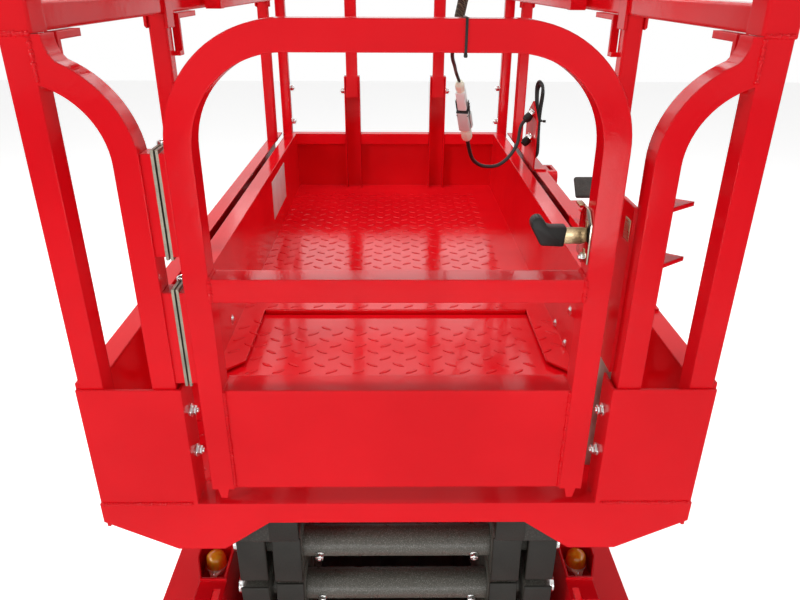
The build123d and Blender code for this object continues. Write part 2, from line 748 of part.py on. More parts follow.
def connector():
    a, b = Vector(*connectorTop), Vector(*connectorLow)
    d = (b - a).normalized()
    total = (b - a).length

    def at(t):
        p = a + d * t
        return (p.X, p.Y, p.Z)

    shape = bar(at(0), at(26), 10) + bar(at(24), at(total - 24), 15) + bar(at(total - 26), at(total), 11)
    return shape


def receptacleBracket():
    # upright plate with a pointed top
    top = floorZ + 340
    profile = [(255, toeTop), (385, toeTop), (385, top - 40), (320, top), (255, top - 40)]
    shape = plate(profile, Plane.YZ.offset(344), 4)
    return shape + block((344, 378), (255, 385), (toeTop, toeTop + 4))


def storageBoxes():
    # rail along the right side panel with two rounded boxes on it
    x0 = halfPanel
    shape = block((x0, x0 + 20), (-75, 330), (toeTop - 52, toeTop - 40))
    for y in (-30, 285):
        box = block((x0, x0 + 25), (y - 45, y + 45), (toeTop - 51, toeTop))
        box = fillet(box.edges().filter_by(Axis.X), 14)
        shape += box - block((x0 + 8, x0 + 18), (y - 22, y + 22), (toeTop - 12, toeTop + 1))
    return shape


def gland(tip):
    # screwed gland on the bracket, its mouth turned inward and down
    root = (344.0, tip[1] + 6, tip[2] + 22)
    body = bar(tip, root, 11)
    return body & block((tip[0] - 40, 344), (tip[1] - 60, tip[1] + 60), (tip[2] - 60, tip[2] + 80))


def receptacles():
    return [gland(bracketEntry), gland((bracketEntry[0], bracketEntry[1], bracketEntry[2] - 62))]


def documentHolder():
    return ring((268, -640, floorZ + 3), (268, -640, floorZ + 240), 24, 21) + bar(
        (268, -640, floorZ), (268, -640, floorZ + 3), 24
    )


def handPad():
    pad = block((245, 344), (-560, -500), (floorZ + 300, floorZ + 312))
    stand = block((344, 348), (-545, -515), (toeTop, floorZ + 312))
    return pad + stand + block((344, 378), (-545, -515), (toeTop, toeTop + 4))


def cableCoil():
    # long hank hung on the outer side of the bracket
    face = SlotOverall(190, 60) - SlotOverall(158, 28)
    hank = extrude(Plane.YZ * Rot(0, 0, 90) * face, 16)
    return Pos(348.3, 320, toeTop + 102) * hank


def tieDownEyes():
    shapes = []
    for sx in (-1, 1):
        for sy in (-1, 1):
            x = sorted((sx * 334, sx * 346))
            y = sy * 690
            lug = block(tuple(x), (y - 26, y + 26), (deckZ[1], deckZ[1] + 24))
            lug += bar((x[0], y, deckZ[1] + 28), (x[1], y, deckZ[1] + 28), 26)
            shapes.append(lug - bar((x[0] - 1, y, deckZ[1] + 28), (x[1] + 1, y, deckZ[1] + 28), 12))
    return shapes


def beacons():
    # lens on a diamond base in each corner pocket
    shapes = []
    for sx in (-1, 1):
        for sy in (-1, 1):
            base = Rot(0, 0, 45) * Box(24, 24, 3, align=(Align.CENTER, Align.CENTER, Align.MIN))
            lens = Pos(0, 0, 3) * Cylinder(15.5, 27, align=(Align.CENTER, Align.CENTER, Align.MIN))
            lens = fillet(lens.edges().group_by(Axis.Z)[-1], 5)
            shapes.append(Pos(sx * 276, sy * 647.5, pocketFloorZ) * (base + lens))
    return shapes


keep("chassis_frame", chassisFrame())
keep("front_cover", endCover())
keep("rear_ladder_cover", ladder())
keep("rear_axle", rearAxle())
keep("beacons", *beacons())
keep("steering_cylinder", steeringCylinder())
keep("steering_rod", steeringRod())
for end, sy in (("front", 1), ("rear", -1)):
    for hand, sx in (("left", -1), ("right", 1)):
        tyre, rim = wheel(sx * wheelX, sy * axleY)
        keep(f"{end}_{hand}_tyre", tyre)
        keep(f"{end}_{hand}_rim", rim)
keep("steering_knuckle_left", knuckle(-1))
keep("steering_knuckle_right", knuckle(1))
keep("battery_tray", tray(-1))
keep("batteries", *trayLoad(-1, ((-370, -190), (-180, 0), (10, 190), (200, 370)), 330))
keep("hydraulic_tray", tray(1))
keep("hydraulic_power_unit", *trayLoad(1, ((-300, 60), (120, 330)), 300))
keep("pothole_guard_left", potholeGuard(-1))
keep("pothole_guard_right", potholeGuard(1))
for level in range(1, levels + 1):
    keep(f"outer_arms_{level}", *outerArms(level))
    keep(f"inner_arms_{level}", *innerArms(level))
    keep(f"cross_tubes_{level}", *crossTubes(level))
keep("lower_rollers", *lowerRollers())
keep("upper_rollers", *upperRollers())
barrel, rod = liftCylinder()
keep("lift_cylinder_barrel", barrel)
keep("lift_cylinder_rod", rod)
keep("platform_deck", platformDeck())
keep("platform_brackets", *platformBrackets())
keep("gate_frames", *gateFrames())
keep("side_rails", *sideRails())
keep("upper_guard_rails", upperRails())
keep("extension_deck", extensionDeck())
keep("extension_rails", extensionRails())
keep("gate", gate())
keep("gate_hinges", *gateHinges())
keep("frame_hinges", *frameHinges())
keep("gate_latch", gateLatch())
keep("platform_controls", controlBox())
keep("control_cord", cordTube(upperCordPoints, cordDiameter))
keep("cord_connector", connector())
keep("supply_cord", cordTube(lowerCordPoints, cordDiameter))
keep("receptacle_bracket", receptacleBracket())
keep("receptacles", *receptacles())
keep("spare_cable_coil", cableCoil())
keep("storage_boxes", storageBoxes())
keep("document_holder", documentHolder())
keep("hand_pad", handPad())
keep("tie_down_eyes", *tieDownEyes())

os.makedirs("parts", exist_ok=True)
for name, shape in nodes.items():
    export_step(shape, f"parts/{name}.step")
print(len(nodes), "nodes")
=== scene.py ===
# Compact electric scissor lift, stowed: finishes, small parts, cords, light and camera.
import math
import random

import bmesh
import bpy
from mathutils import Matrix, Vector


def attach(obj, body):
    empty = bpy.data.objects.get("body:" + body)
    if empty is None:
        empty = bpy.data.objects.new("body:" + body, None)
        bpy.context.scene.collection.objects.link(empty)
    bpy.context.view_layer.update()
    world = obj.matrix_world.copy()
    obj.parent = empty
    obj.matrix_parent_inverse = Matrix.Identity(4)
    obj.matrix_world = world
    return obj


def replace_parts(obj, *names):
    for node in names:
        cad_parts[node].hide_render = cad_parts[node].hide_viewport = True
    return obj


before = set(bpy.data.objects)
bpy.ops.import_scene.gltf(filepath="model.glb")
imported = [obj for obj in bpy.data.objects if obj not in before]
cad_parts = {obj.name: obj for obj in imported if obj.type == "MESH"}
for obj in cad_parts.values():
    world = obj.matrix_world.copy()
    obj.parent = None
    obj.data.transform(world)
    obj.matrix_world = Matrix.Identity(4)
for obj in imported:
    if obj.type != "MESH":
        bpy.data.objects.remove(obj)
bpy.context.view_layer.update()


def linkObject(name, data):
    made = bpy.data.objects.new(name, data)
    bpy.context.collection.objects.link(made)
    return made


def ridePiece(name, data, finish, body):
    # a piece at the origin that rides on a body, with its finish and the finish's slot
    data.materials.append(materials[finish])
    piece = linkObject(name, data)
    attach(piece, body)
    return piece


def meshFrom(name, bm):
    mesh = bpy.data.meshes.new(name)
    bm.to_mesh(mesh)
    bm.free()
    return mesh


def finishPiece(name, bm, finish, body, angle=35):
    bmesh.ops.recalc_face_normals(bm, faces=bm.faces)
    mesh = meshFrom(name, bm)
    for face in mesh.polygons:
        face.use_smooth = True
    mesh.set_sharp_from_angle(angle=math.radians(angle))
    return ridePiece(name, mesh, finish, body)


def turnTo(direction):
    return Vector((0, 0, 1)).rotation_difference(Vector(direction)).to_matrix().to_4x4()


def edgesOf(verts):
    return list(dict.fromkeys(edge for vert in verts for edge in vert.link_edges))


def roundEdges(bm, edges, offset, segments=2):
    return bmesh.ops.bevel(bm, geom=edges, offset=offset, segments=segments, affect="EDGES", profile=0.5,
                           material=-1)["verts"]


def addBlock(bm, x, y, z, round=0.0, segments=2, turn=None):
    # block between limits in metres, its edges rounded
    made = bmesh.ops.create_cube(bm, size=1.0)["verts"]
    bmesh.ops.scale(bm, vec=[abs(b - a) for a, b in (x, y, z)], verts=made)
    if round:
        made = roundEdges(bm, edgesOf(made), round, segments)
    if turn is not None:
        bmesh.ops.transform(bm, matrix=turn, verts=made)
    bmesh.ops.translate(bm, vec=[(a + b) / 2 for a, b in (x, y, z)], verts=made)
    return made


def makeBlocks(name, blocks, finish, body):
    # one piece of several blocks, each given as addBlock takes it
    bm = bmesh.new()
    for block in blocks:
        addBlock(bm, *block)
    return finishPiece(name, bm, finish, body)


def addBar(bm, start, end, radius, endRadius=None, segments=24, round=0.0):
    # round bar or cone between two points
    start, end = Vector(start), Vector(end)
    run = end - start
    made = bmesh.ops.create_cone(bm, cap_ends=True, cap_tris=False, segments=segments, radius1=radius,
                                 radius2=radius if endRadius is None else endRadius, depth=run.length,
                                 matrix=Matrix.Translation((start + end) / 2) @ turnTo(run))["verts"]
    if round:
        rims = [edge for edge in edgesOf(made) if any(len(face.verts) > 4 for face in edge.link_faces)]
        roundEdges(bm, rims, round)


def addLathe(bm, profile, origin, direction, segments=32):
    # profile of (radius, height) pairs turned about an axis
    verts = [bm.verts.new((radius, 0, height)) for radius, height in profile]
    edges = [bm.edges.new(pair) for pair in zip(verts, verts[1:])]
    bmesh.ops.spin(bm, geom=verts + edges, cent=(0, 0, 0), axis=(0, 0, 1), angle=2 * math.pi, steps=segments,
                   use_merge=True)
    found = dict.fromkeys(verts)
    grow = list(verts)
    while grow:
        vert = grow.pop()
        for other in [edge.other_vert(vert) for edge in vert.link_edges]:
            if other not in found:
                found[other] = True
                grow.append(other)
    bmesh.ops.remove_doubles(bm, verts=list(found), dist=1e-6)
    found = [vert for vert in found if vert.is_valid]
    bmesh.ops.transform(bm, matrix=Matrix.Translation(origin) @ turnTo(direction), verts=found)


def addOutline(bm, points, thick, place, round):
    # flat outline of (x, y) pairs given a thickness and rounded, then placed
    verts = [bm.verts.new((x, y, 0)) for x, y in points]
    pushed = bmesh.ops.extrude_face_region(bm, geom=[bm.faces.new(verts)])["geom"]
    top = [item for item in pushed if isinstance(item, bmesh.types.BMVert)]
    bmesh.ops.translate(bm, vec=(0, 0, thick), verts=top)
    bevelled = roundEdges(bm, edgesOf(verts + top), round)
    made = list({v for face in {f for v in bevelled for f in v.link_faces} for v in face.verts})
    bmesh.ops.transform(bm, matrix=place, verts=made)


def addHexBolt(bm, at, direction, flats, headHeight, washer):
    # hexagon head on a washer, with a stub of thread through its centre
    washerThick, stub = 0.0016, 0.0022
    at, way = Vector(at), Vector(direction).normalized()
    foot = at + way * washerThick
    head = foot + way * headHeight
    addBar(bm, at, foot, washer, round=0.0004)
    addBar(bm, foot, head, flats / math.sqrt(3), segments=6, round=headHeight * 0.12)
    addBar(bm, head - way * 0.001, head + way * stub, flats * 0.27, segments=16, round=0.0006)


def addDomeBolt(bm, at, direction, radius):
    profile = [(0.0, 0.62), (0.45, 0.55), (0.8, 0.32), (1, 0.08), (1.25, 0.08), (1.25, 0.0)]
    addLathe(bm, [(radius * r, radius * h) for r, h in profile], at, direction, segments=20)


def fillInputs(tree, node, entries):
    # each input takes a value, or a link from another node's output
    for key, entry in entries.items():
        if isinstance(entry, bpy.types.NodeSocket):
            tree.links.new(entry, node.inputs[key])
        else:
            node.inputs[key].default_value = entry


def addNode(tree, kind, entries, output=0):
    # a shader node with its inputs filled; gives one of its outputs
    node = tree.nodes.new("ShaderNode" + kind)
    fillInputs(tree, node, entries)
    return node.outputs[output]


def addMath(tree, operation, first, second=0.0):
    node = tree.nodes.new("ShaderNodeMath")
    node.operation = operation
    fillInputs(tree, node, {0: first, 1: second})
    return node.outputs[0]


def startMaterial(name, colour=(0.8, 0.8, 0.8)):
    material = bpy.data.materials.new(name)
    material.use_nodes = True
    material.diffuse_color = (*colour, 1)
    return material


def startShader(tree, shader, colour, roughness, metallic=0.0):
    fillInputs(tree, shader, {"Base Color": (*colour, 1), "Roughness": roughness, "Metallic": metallic})


def addNoise(tree, scale, detail=2.0, stretch=(1, 1, 1), roughness=0.5):
    where = addNode(tree, "TexCoord", {}, "Object")
    where = addNode(tree, "Mapping", {"Vector": where, "Scale": stretch})
    return addNode(tree, "TexNoise", {"Vector": where, "Scale": scale, "Detail": detail, "Roughness": roughness},
                   "Fac")


def addRamp(tree, source, low, high, stops=(0.35, 0.65)):
    ramp = tree.nodes.new("ShaderNodeValToRGB")
    for point, stop, colour in zip(ramp.color_ramp.elements, stops, (low, high)):
        point.position, point.color = stop, (*colour, 1)
    tree.links.new(source, ramp.inputs["Fac"])
    return ramp.outputs["Color"]


def addRange(tree, source, low, high):
    return addNode(tree, "MapRange", {"Value": source, "From Min": 0.35, "From Max": 0.65, "To Min": low,
                                      "To Max": high})


def addBump(tree, height, distance, strength=1.0, below=None):
    entries = {"Height": height, "Distance": distance, "Strength": strength}
    if below is not None:
        entries["Normal"] = below
    return addNode(tree, "Bump", entries)


def addEdgeRounding(tree, radius):
    rounding = tree.nodes.new("ShaderNodeBevel")
    rounding.samples = 4
    rounding.inputs["Radius"].default_value = radius
    return rounding.outputs["Normal"]


def powderCoat(tree, shader, colour, dark):
    # sprayed and baked paint: orange peel, slow drift in depth of colour, clear coat
    peel, gloss = 0.00012, 0.10
    startShader(tree, shader, colour, gloss)
    normal = addBump(tree, addNoise(tree, 60.0, 1.0), peel * 3, 0.5, addEdgeRounding(tree, 0.0025))
    fillInputs(tree, shader, {
        "Base Color": addRamp(tree, addNoise(tree, 5.0, 3.0), dark, colour),
        "Normal": addBump(tree, addNoise(tree, 330.0), peel, 0.8, normal),
        "Roughness": addRange(tree, addNoise(tree, 18.0, 4.0), gloss * 0.7, gloss * 1.5),
        "IOR": 1.22, "Coat Weight": 0.05, "Coat Roughness": 0.04})


def texturedPaint(tree, shader, colour, pale, bumpDepth=0.00035, gloss=0.42):
    # fine wrinkle paint: dark with a pale speckle where the grain catches light
    startShader(tree, shader, colour, gloss)
    grain = addNoise(tree, 700.0, roughness=0.7)
    fillInputs(tree, shader, {
        "Base Color": addRamp(tree, grain, colour, pale, (0.5, 0.8)), "Specular IOR Level": 0.3,
        "Normal": addBump(tree, grain, bumpDepth, 0.9, addEdgeRounding(tree, 0.003)),
        "Roughness": addRange(tree, addNoise(tree, 25.0, 3.0), gloss * 0.8, gloss * 1.3)})


def plated(tree, shader, colour, tint, gloss):
    # zinc or steel: faint bluish to yellow clouding and rolling marks
    startShader(tree, shader, colour, gloss, 1.0)
    lines = addNoise(tree, 90.0, 3.0, (1, 1, 14))
    fillInputs(tree, shader, {
        "Base Color": addRamp(tree, addNoise(tree, 45.0, 4.0), colour, tint),
        "Normal": addBump(tree, lines, 0.00006, 0.5, addEdgeRounding(tree, 0.0008)),
        "Roughness": addRange(tree, lines, gloss * 0.7, gloss * 1.5)})


def moulded(tree, shader, colour, pale, gloss=0.45, grainScale=900.0, depth=0.00008, edge=0.001):
    # moulded plastic: spark-eroded grain and slight fading
    startShader(tree, shader, colour, gloss)
    grain = addNoise(tree, grainScale)
    fillInputs(tree, shader, {
        "Base Color": addRamp(tree, addNoise(tree, 22.0, 3.0), colour, pale), "Specular IOR Level": 0.28,
        "Normal": addBump(tree, grain, depth, 0.8, addEdgeRounding(tree, edge)),
        "Roughness": addRange(tree, grain, gloss * 0.85, gloss * 1.2)})


def litAmber(tree, shader, colour, low, high):
    # pressed amber lens, lit a little from inside by its own scatter
    startShader(tree, shader, colour, 0.08)
    ribs = addNoise(tree, 160.0, 1.0, (1, 1, 0.3))
    fillInputs(tree, shader, {
        "Base Color": addRamp(tree, ribs, low, high), "Normal": addBump(tree, ribs, 0.0005, 0.7),
        "Transmission Weight": 0.05, "IOR": 1.49, "Coat Weight": 0.6})


def sheathed(tree, shader, colour, pale, gloss):
    # smooth cord sheath with scuffs
    startShader(tree, shader, colour, gloss)
    scuff = addNoise(tree, 130.0, 4.0)
    fillInputs(tree, shader, {
        "Base Color": addRamp(tree, scuff, colour, pale, (0.45, 0.75)), "Specular IOR Level": 0.3,
        "Normal": addBump(tree, scuff, 0.0001, 0.6),
        "Roughness": addRange(tree, scuff, gloss * 0.8, gloss * 1.2)})


def braided(tree, shader, colour, gap, thread):
    # plaited sleeve: two crossing sets of threads in object space
    startShader(tree, shader, colour, 0.7)
    where = addNode(tree, "TexCoord", {}, "Object")
    threads = []
    for turn in (0.9, -0.9):
        turned = addNode(tree, "Mapping", {"Vector": where, "Rotation": (turn, 0.3, turn)})
        threads.append(addNode(tree, "TexWave", {"Vector": turned, "Scale": 95.0}, "Fac"))
    both = addMath(tree, "MAXIMUM", *threads)
    fillInputs(tree, shader, {"Base Color": addRamp(tree, both, gap, thread, (0.88, 1.0)),
                              "Normal": addBump(tree, both, 0.0009)})


print("materials")
finishSettings = {  # the function that makes each finish, and what it takes
    "redPaint": (powderCoat, (0.83, 0.006, 0.013), (0.74, 0.004, 0.010)),
    "armPaint": (texturedPaint, (0.082, 0.077, 0.064), (0.30, 0.29, 0.26), 0.00025, 0.30),
    # the arm paint with painted shade: the arms' charcoal paint made much darker for the platform brackets, which sit
    # in the fascia's shadow
    "paintedShadeArmPaint": (texturedPaint, (0.022, 0.020, 0.016), (0.10, 0.095, 0.08)),
    "brightSteel": (plated, (0.78, 0.78, 0.76), (0.66, 0.66, 0.65), 0.2),
    "chromeRod": (plated, (0.82, 0.82, 0.82), (0.78, 0.78, 0.79), 0.07),
    "tanZinc": (plated, (0.42, 0.31, 0.18), (0.34, 0.26, 0.16), 0.3),
    "mirrorZinc": (plated, (0.50, 0.44, 0.36), (0.42, 0.36, 0.28), 0.09),
    "dullZinc": (plated, (0.34, 0.31, 0.24), (0.24, 0.22, 0.18), 0.42),
    "blackPlastic": (moulded, (0.010, 0.009, 0.008), (0.018, 0.016, 0.015)),
    "capPlastic": (moulded, (0.013, 0.012, 0.009), (0.022, 0.020, 0.016), 0.5, 500.0),
    "creamPlastic": (moulded, (0.86, 0.90, 0.72), (0.90, 0.94, 0.78), 0.35),
    # both connector greys carry a painted blue-green tint that offsets the red light bounced onto the connector
    "greyPlastic": (moulded, (0.84, 0.95, 0.93), (0.88, 0.97, 0.95), 0.4),
    "darkGreyPlastic": (moulded, (0.64, 0.76, 0.74), (0.70, 0.82, 0.80), 0.42),
    "paleRubber": (moulded, (0.30, 0.30, 0.30), (0.37, 0.37, 0.36), 0.75, 400.0, 0.0002, 0.004),
    "padRubber": (moulded, (0.030, 0.027, 0.024), (0.060, 0.055, 0.050), 0.6, 420.0, 0.0006, 0.002),
    "rimPaint": (moulded, (0.62, 0.62, 0.60), (0.70, 0.70, 0.68), 0.35),
    "platePaint": (moulded, (0.62, 0.60, 0.58), (0.70, 0.68, 0.66), 0.5),
    "ventPaint": (moulded, (0.05, 0.052, 0.055), (0.08, 0.082, 0.085), 0.5),
    "beigePlastic": (moulded, (0.42, 0.40, 0.33), (0.50, 0.48, 0.42), 0.4),
    "batteryCase": (moulded, (0.045, 0.047, 0.05), (0.07, 0.072, 0.075), 0.5),
    "stopRed": (moulded, (0.62, 0.010, 0.010), (0.56, 0.008, 0.008), 0.3),
    "stopYellow": (moulded, (0.85, 0.52, 0.01), (0.80, 0.48, 0.01), 0.4),
    "amberLens": (litAmber, (1.0, 0.45, 0.03), (1.0, 0.27, 0.006), (1.0, 0.50, 0.03)),
    "cordSheath": (sheathed, (0.012, 0.012, 0.012), (0.03, 0.03, 0.03), 0.5),
    "braidedSleeve": (braided, (0.02, 0.02, 0.02), (0.005, 0.005, 0.004), (0.20, 0.19, 0.12)),
}
splitSettings = {  # distance from the middle plane, the finish inside it and the one outside
    "silverEnds": (0.2190, "armPaint", "brightSteel"), "frameHingeFinish": (0.2512, "dullZinc", "redPaint"),
    "gateHingeFinish": (0.2429, "redPaint", "dullZinc"),
}


def makeFinish(name, maker, colour, *values):
    material = startMaterial(name, colour)
    tree = material.node_tree
    maker(tree, tree.nodes["Principled BSDF"], colour, *values)
    return material


def splitAcross(name, limit, *finishes):
    # one finish up to a distance from the middle plane, another beyond it
    material = startMaterial(name)
    tree = material.node_tree
    output = tree.nodes["Material Output"].inputs["Surface"]
    shaders = [tree.nodes["Principled BSDF"], tree.nodes.new("ShaderNodeBsdfPrincipled")]
    for shader, finish in zip(shaders, finishes):
        maker, *values = finishSettings[finish]
        maker(tree, shader, *values)
    where = addNode(tree, "TexCoord", {}, "Object")
    across = addMath(tree, "ABSOLUTE", addNode(tree, "SeparateXYZ", {"Vector": where}, "X"))
    beyond = addMath(tree, "GREATER_THAN", across, limit)
    tree.links.new(addNode(tree, "MixShader", {"Fac": beyond, 1: shaders[0].outputs[0], 2: shaders[1].outputs[0]}),
                   output)
    return material


materials = {name: makeFinish(name, *values) for name, values in finishSettings.items()}
materials |= {name: splitAcross(name, *values) for name, values in splitSettings.items()}

finishNodes = {  # CAD nodes that aren't red
    # the platform brackets take the arm paint darkened as painted shade
    "chromeRod": "steering_rod lift_cylinder_rod", "paintedShadeArmPaint": "platform_brackets",
    "armPaint": "lift_cylinder_barrel steering_cylinder rear_axle steering_knuckle_left steering_knuckle_right",
    "blackPlastic": "lower_rollers upper_rollers receptacles platform_controls", "ventPaint": "hydraulic_power_unit",
    "batteryCase": "batteries", "beigePlastic": "document_holder", "frameHingeFinish": "frame_hinges",
    "gateHingeFinish": "gate_hinges",
}
nodeFinish = {name: finish for finish, names in finishNodes.items() for name in names.split()}
for wheel in ("front_left", "front_right", "rear_left", "rear_right"):
    nodeFinish[f"{wheel}_tyre"] = "paleRubber"
    nodeFinish[f"{wheel}_rim"] = "rimPaint"
for level in (1, 2, 3):
    nodeFinish[f"outer_arms_{level}"] = "armPaint"
    nodeFinish[f"inner_arms_{level}"] = "armPaint"
    nodeFinish[f"cross_tubes_{level}"] = "silverEnds"
for name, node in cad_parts.items():
    node.data.materials.clear()
    node.data.materials.append(materials[nodeFinish.get(name, "redPaint")])

print("camera and light")
viewSettings = {"place": (-0.005, -1.422, 1.347), "pitch": 25.2, "yaw": 0.62, "roll": 0.26, "lens": 30.58}


def makeCamera(settings):
    camera = bpy.data.cameras.new("mainCamera")
    camera.lens = settings["lens"]
    camera.sensor_width = 36.0
    camera.clip_end = 60.0
    holder = linkObject("mainCamera", camera)
    turn = Matrix.Identity(4)
    for degrees, axis in ((-settings["yaw"], "Z"), (90 - settings["pitch"], "X"), (settings["roll"], "Z")):
        turn = turn @ Matrix.Rotation(math.radians(degrees), 4, axis)
    holder.matrix_world = Matrix.Translation(settings["place"]) @ turn
    bpy.context.scene.camera = holder


makeCamera(viewSettings)

lampSettings = {  # place, point aimed at, width and height, power
    "leftStrip": ((-1.49, -0.57, 4.93), (-0.2, -0.4, 0.8), (0.5, 4.6), 100),
    "rightStrip": ((1.49, -0.57, 4.93), (0.2, -0.4, 0.8), (0.5, 4.6), 58),
    "leftKey": ((-2.6, -2.5, 2.3), (0, -0.5, 0.9), (0.9, 1.1), 34),
    "rightFill": ((2.8, -1.9, 1.9), (0, -0.4, 0.8), (0.9, 1.3), 17),
    "frontFill": ((0.1, -3.2, 0.42), (0, -0.6, 0.6), (2.0, 0.5), 20),
    "farWindow": ((0.0, 3.2, 2.6), (0, 0.2, 0.8), (2.4, 1.4), 16),
}


def makeLamp(name, place, aim, size, power):
    lamp = bpy.data.lights.new(name, "AREA")
    lamp.shape = "RECTANGLE"
    lamp.size, lamp.size_y = size
    lamp.energy = power
    turn = (Vector(aim) - Vector(place)).to_track_quat("-Z", "Y").to_matrix().to_4x4()
    linkObject(name, lamp).matrix_world = Matrix.Translation(place) @ turn


for lampName, lampSetting in lampSettings.items():
    makeLamp(lampName, *lampSetting)

studioSettings = {"worldStrength": 0.22, "floorSize": 9.0, "floorColour": (0.86, 0.86, 0.86), "floorRoughness": 0.8,
                  "floorLift": 0.64}


def makeWorld(settings):
    # faint light all round, which the camera, glass and metal see as plain white
    world = bpy.data.worlds.new("studio")
    world.use_nodes = True
    tree = world.node_tree
    tree.nodes.clear()
    light = addNode(tree, "Background", {"Color": (1.0, 0.99, 0.98, 1), "Strength": settings["worldStrength"]})
    seen = addNode(tree, "Background", {"Color": (1, 1, 1, 1), "Strength": 1.0})
    rays = tree.nodes.new("ShaderNodeLightPath").outputs
    clear = addMath(tree, "MAXIMUM", rays["Is Camera Ray"], rays["Is Transmission Ray"])
    clear = addMath(tree, "MAXIMUM", clear, rays["Is Glossy Ray"])
    mixed = addNode(tree, "MixShader", {"Fac": clear, 1: light, 2: seen})
    tree.links.new(mixed, tree.nodes.new("ShaderNodeOutputWorld").inputs["Surface"])
    bpy.context.scene.world = world


def makeFloor(settings):
    # pale floor that keeps the shadow, lifted towards white for the camera only
    bm = bmesh.new()
    bmesh.ops.create_grid(bm, x_segments=2, y_segments=2, size=settings["floorSize"])
    mesh = meshFrom("studioFloor", bm)
    material = startMaterial("studioFloor", settings["floorColour"])
    tree = material.node_tree
    shader = tree.nodes["Principled BSDF"]
    startShader(tree, shader, settings["floorColour"], settings["floorRoughness"])
    lift = addMath(tree, "MULTIPLY", addNode(tree, "LightPath", {}, "Is Camera Ray"), settings["floorLift"])
    lift = addNode(tree, "Emission", {"Color": (1, 1, 1, 1), "Strength": lift})
    both = addNode(tree, "AddShader", {0: shader.outputs[0], 1: lift})
    tree.links.new(both, tree.nodes["Material Output"].inputs["Surface"])
    mesh.materials.append(material)
    linkObject("studioFloor", mesh)


makeWorld(studioSettings)
makeFloor(studioSettings)
bpy.context.scene.view_settings.view_transform = "Standard"

print("cords")
upperCordRoute = [
    (0.096, -0.600, 1.636), (0.096, -0.600, 1.590), (0.096, -0.575, 1.530), (0.096, -0.535, 1.470),
    (0.096, -0.480, 1.415), (0.097, -0.425, 1.372), (0.098, -0.370, 1.347), (0.098, -0.330, 1.322),
    (0.0935, -0.305, 1.288), (0.0893, -0.278, 1.2520), (0.0912, -0.245, 1.2330), (0.1012, -0.180, 1.2140),
    (0.1090, -0.110, 1.2000), (0.1158, -0.055, 1.1860), (0.1256, -0.020, 1.1666),
]
lowerCordRoute = [
    (0.1570, 0.0750, 1.0325), (0.167, 0.102, 0.994), (0.180, 0.130, 0.970), (0.201, 0.160, 0.952),
    (0.226, 0.190, 0.942), (0.253, 0.220, 0.938), (0.281, 0.250, 0.950), (0.306, 0.276, 0.979),
    (0.309, 0.286, 1.003), (0.3132, 0.2936, 1.0225), (0.322, 0.296, 1.0315),
]
cordSettings = {"upperDiameter": 0.0062, "diameter": 0.0086, "sleeveRadius": 0.0076, "sleeveLowest": 1.293,
                "reliefLength": 0.035, "reliefWide": 0.0115, "reliefNarrow": 0.0095, "reliefRib": 0.0006}


def makeCordCurve(name, route, diameter):
    curve = bpy.data.curves.new(name, "CURVE")
    curve.dimensions = "3D"
    curve.resolution_u = 10
    curve.bevel_depth = diameter / 2
    curve.bevel_resolution = 5
    curve.use_fill_caps = True
    spline = curve.splines.new("NURBS")
    spline.points.add(len(route) - 1)
    for point, place in zip(spline.points, route):
        point.co = (*place, 1)
    spline.order_u = 3
    spline.use_endpoint_u = True
    return ridePiece(name, curve, "cordSheath", "platform")


def pointsAlong(piece):
    # points of a cord's own spline
    bare = piece.copy()
    bare.data = piece.data.copy()
    bare.data.bevel_depth = 0
    bpy.context.collection.objects.link(bare)
    mesh = bpy.data.meshes.new_from_object(bare)
    points = [vert.co.copy() for vert in mesh.vertices]
    bpy.data.meshes.remove(mesh)
    bpy.data.objects.remove(bare)
    return points


def cordLength(piece):
    points = pointsAlong(piece)
    return sum((b - a).length for a, b in zip(points, points[1:]))


def makeTube(name, points, radii, segments, finish):
    # rings set across a line of points and bridged
    bm, rings = bmesh.new(), []
    for index, (point, radius) in enumerate(zip(points, radii)):
        along = points[min(index + 1, len(points) - 1)] - points[max(index - 1, 0)]
        verts = bmesh.ops.create_circle(bm, cap_ends=False, segments=segments, radius=radius,
                                        matrix=Matrix.Translation(point) @ turnTo(along))["verts"]
        rings.append(edgesOf(verts))
        if index:
            bmesh.ops.bridge_loops(bm, edges=rings[-2] + rings[-1])
    for edges in (rings[0], rings[-1]):
        bmesh.ops.contextual_create(bm, geom=edges)
    return finishPiece(name, bm, finish, "platform")


controlCord = makeCordCurve("controlCord", upperCordRoute, cordSettings["upperDiameter"])
supplyCord = makeCordCurve("supplyCord", lowerCordRoute, cordSettings["diameter"])
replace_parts(controlCord, "control_cord")
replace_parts(supplyCord, "supply_cord")


def makeSleeve(settings):
    # braided sleeve over the upper cord, ending in a heat-shrunk collar
    points = [point for point in pointsAlong(controlCord) if point.z > settings["sleeveLowest"]]
    radii = [settings["sleeveRadius"]] * len(points)
    radii[-1] *= 0.9
    return makeTube("cordSleeve", points, radii, 18, "braidedSleeve")


def makeStrainRelief(settings):
    # ribbed taper where the upper cord leaves its housing
    points = pointsAlong(controlCord)
    run, gone = [points[0]], 0.0
    for a, b in zip(points, points[1:]):
        gone += (b - a).length
        run.append(b)
        if gone > settings["reliefLength"]:
            break
    steps = len(run) - 1
    wide, narrow, rib = settings["reliefWide"], settings["reliefNarrow"], settings["reliefRib"]
    radii = [wide + (narrow - wide) * i / steps + (rib if i % 2 else 0.0) for i in range(steps + 1)]
    makeTube("controlRelief", run, radii, 20, "blackPlastic")


cordSleeve = makeSleeve(cordSettings)
makeStrainRelief(cordSettings)

connectorSettings = {
    "top": (0.1256, -0.020, 1.1666), "low": (0.1570, 0.0750, 1.0325), "plug": 0.0096, "shell": 0.0124,
    "split": 0.074, "topNut": (0.0092, 0.019), "lowNut": (0.0112, 0.030), "nutTaper": 0.007, "leverLean": 14,
}


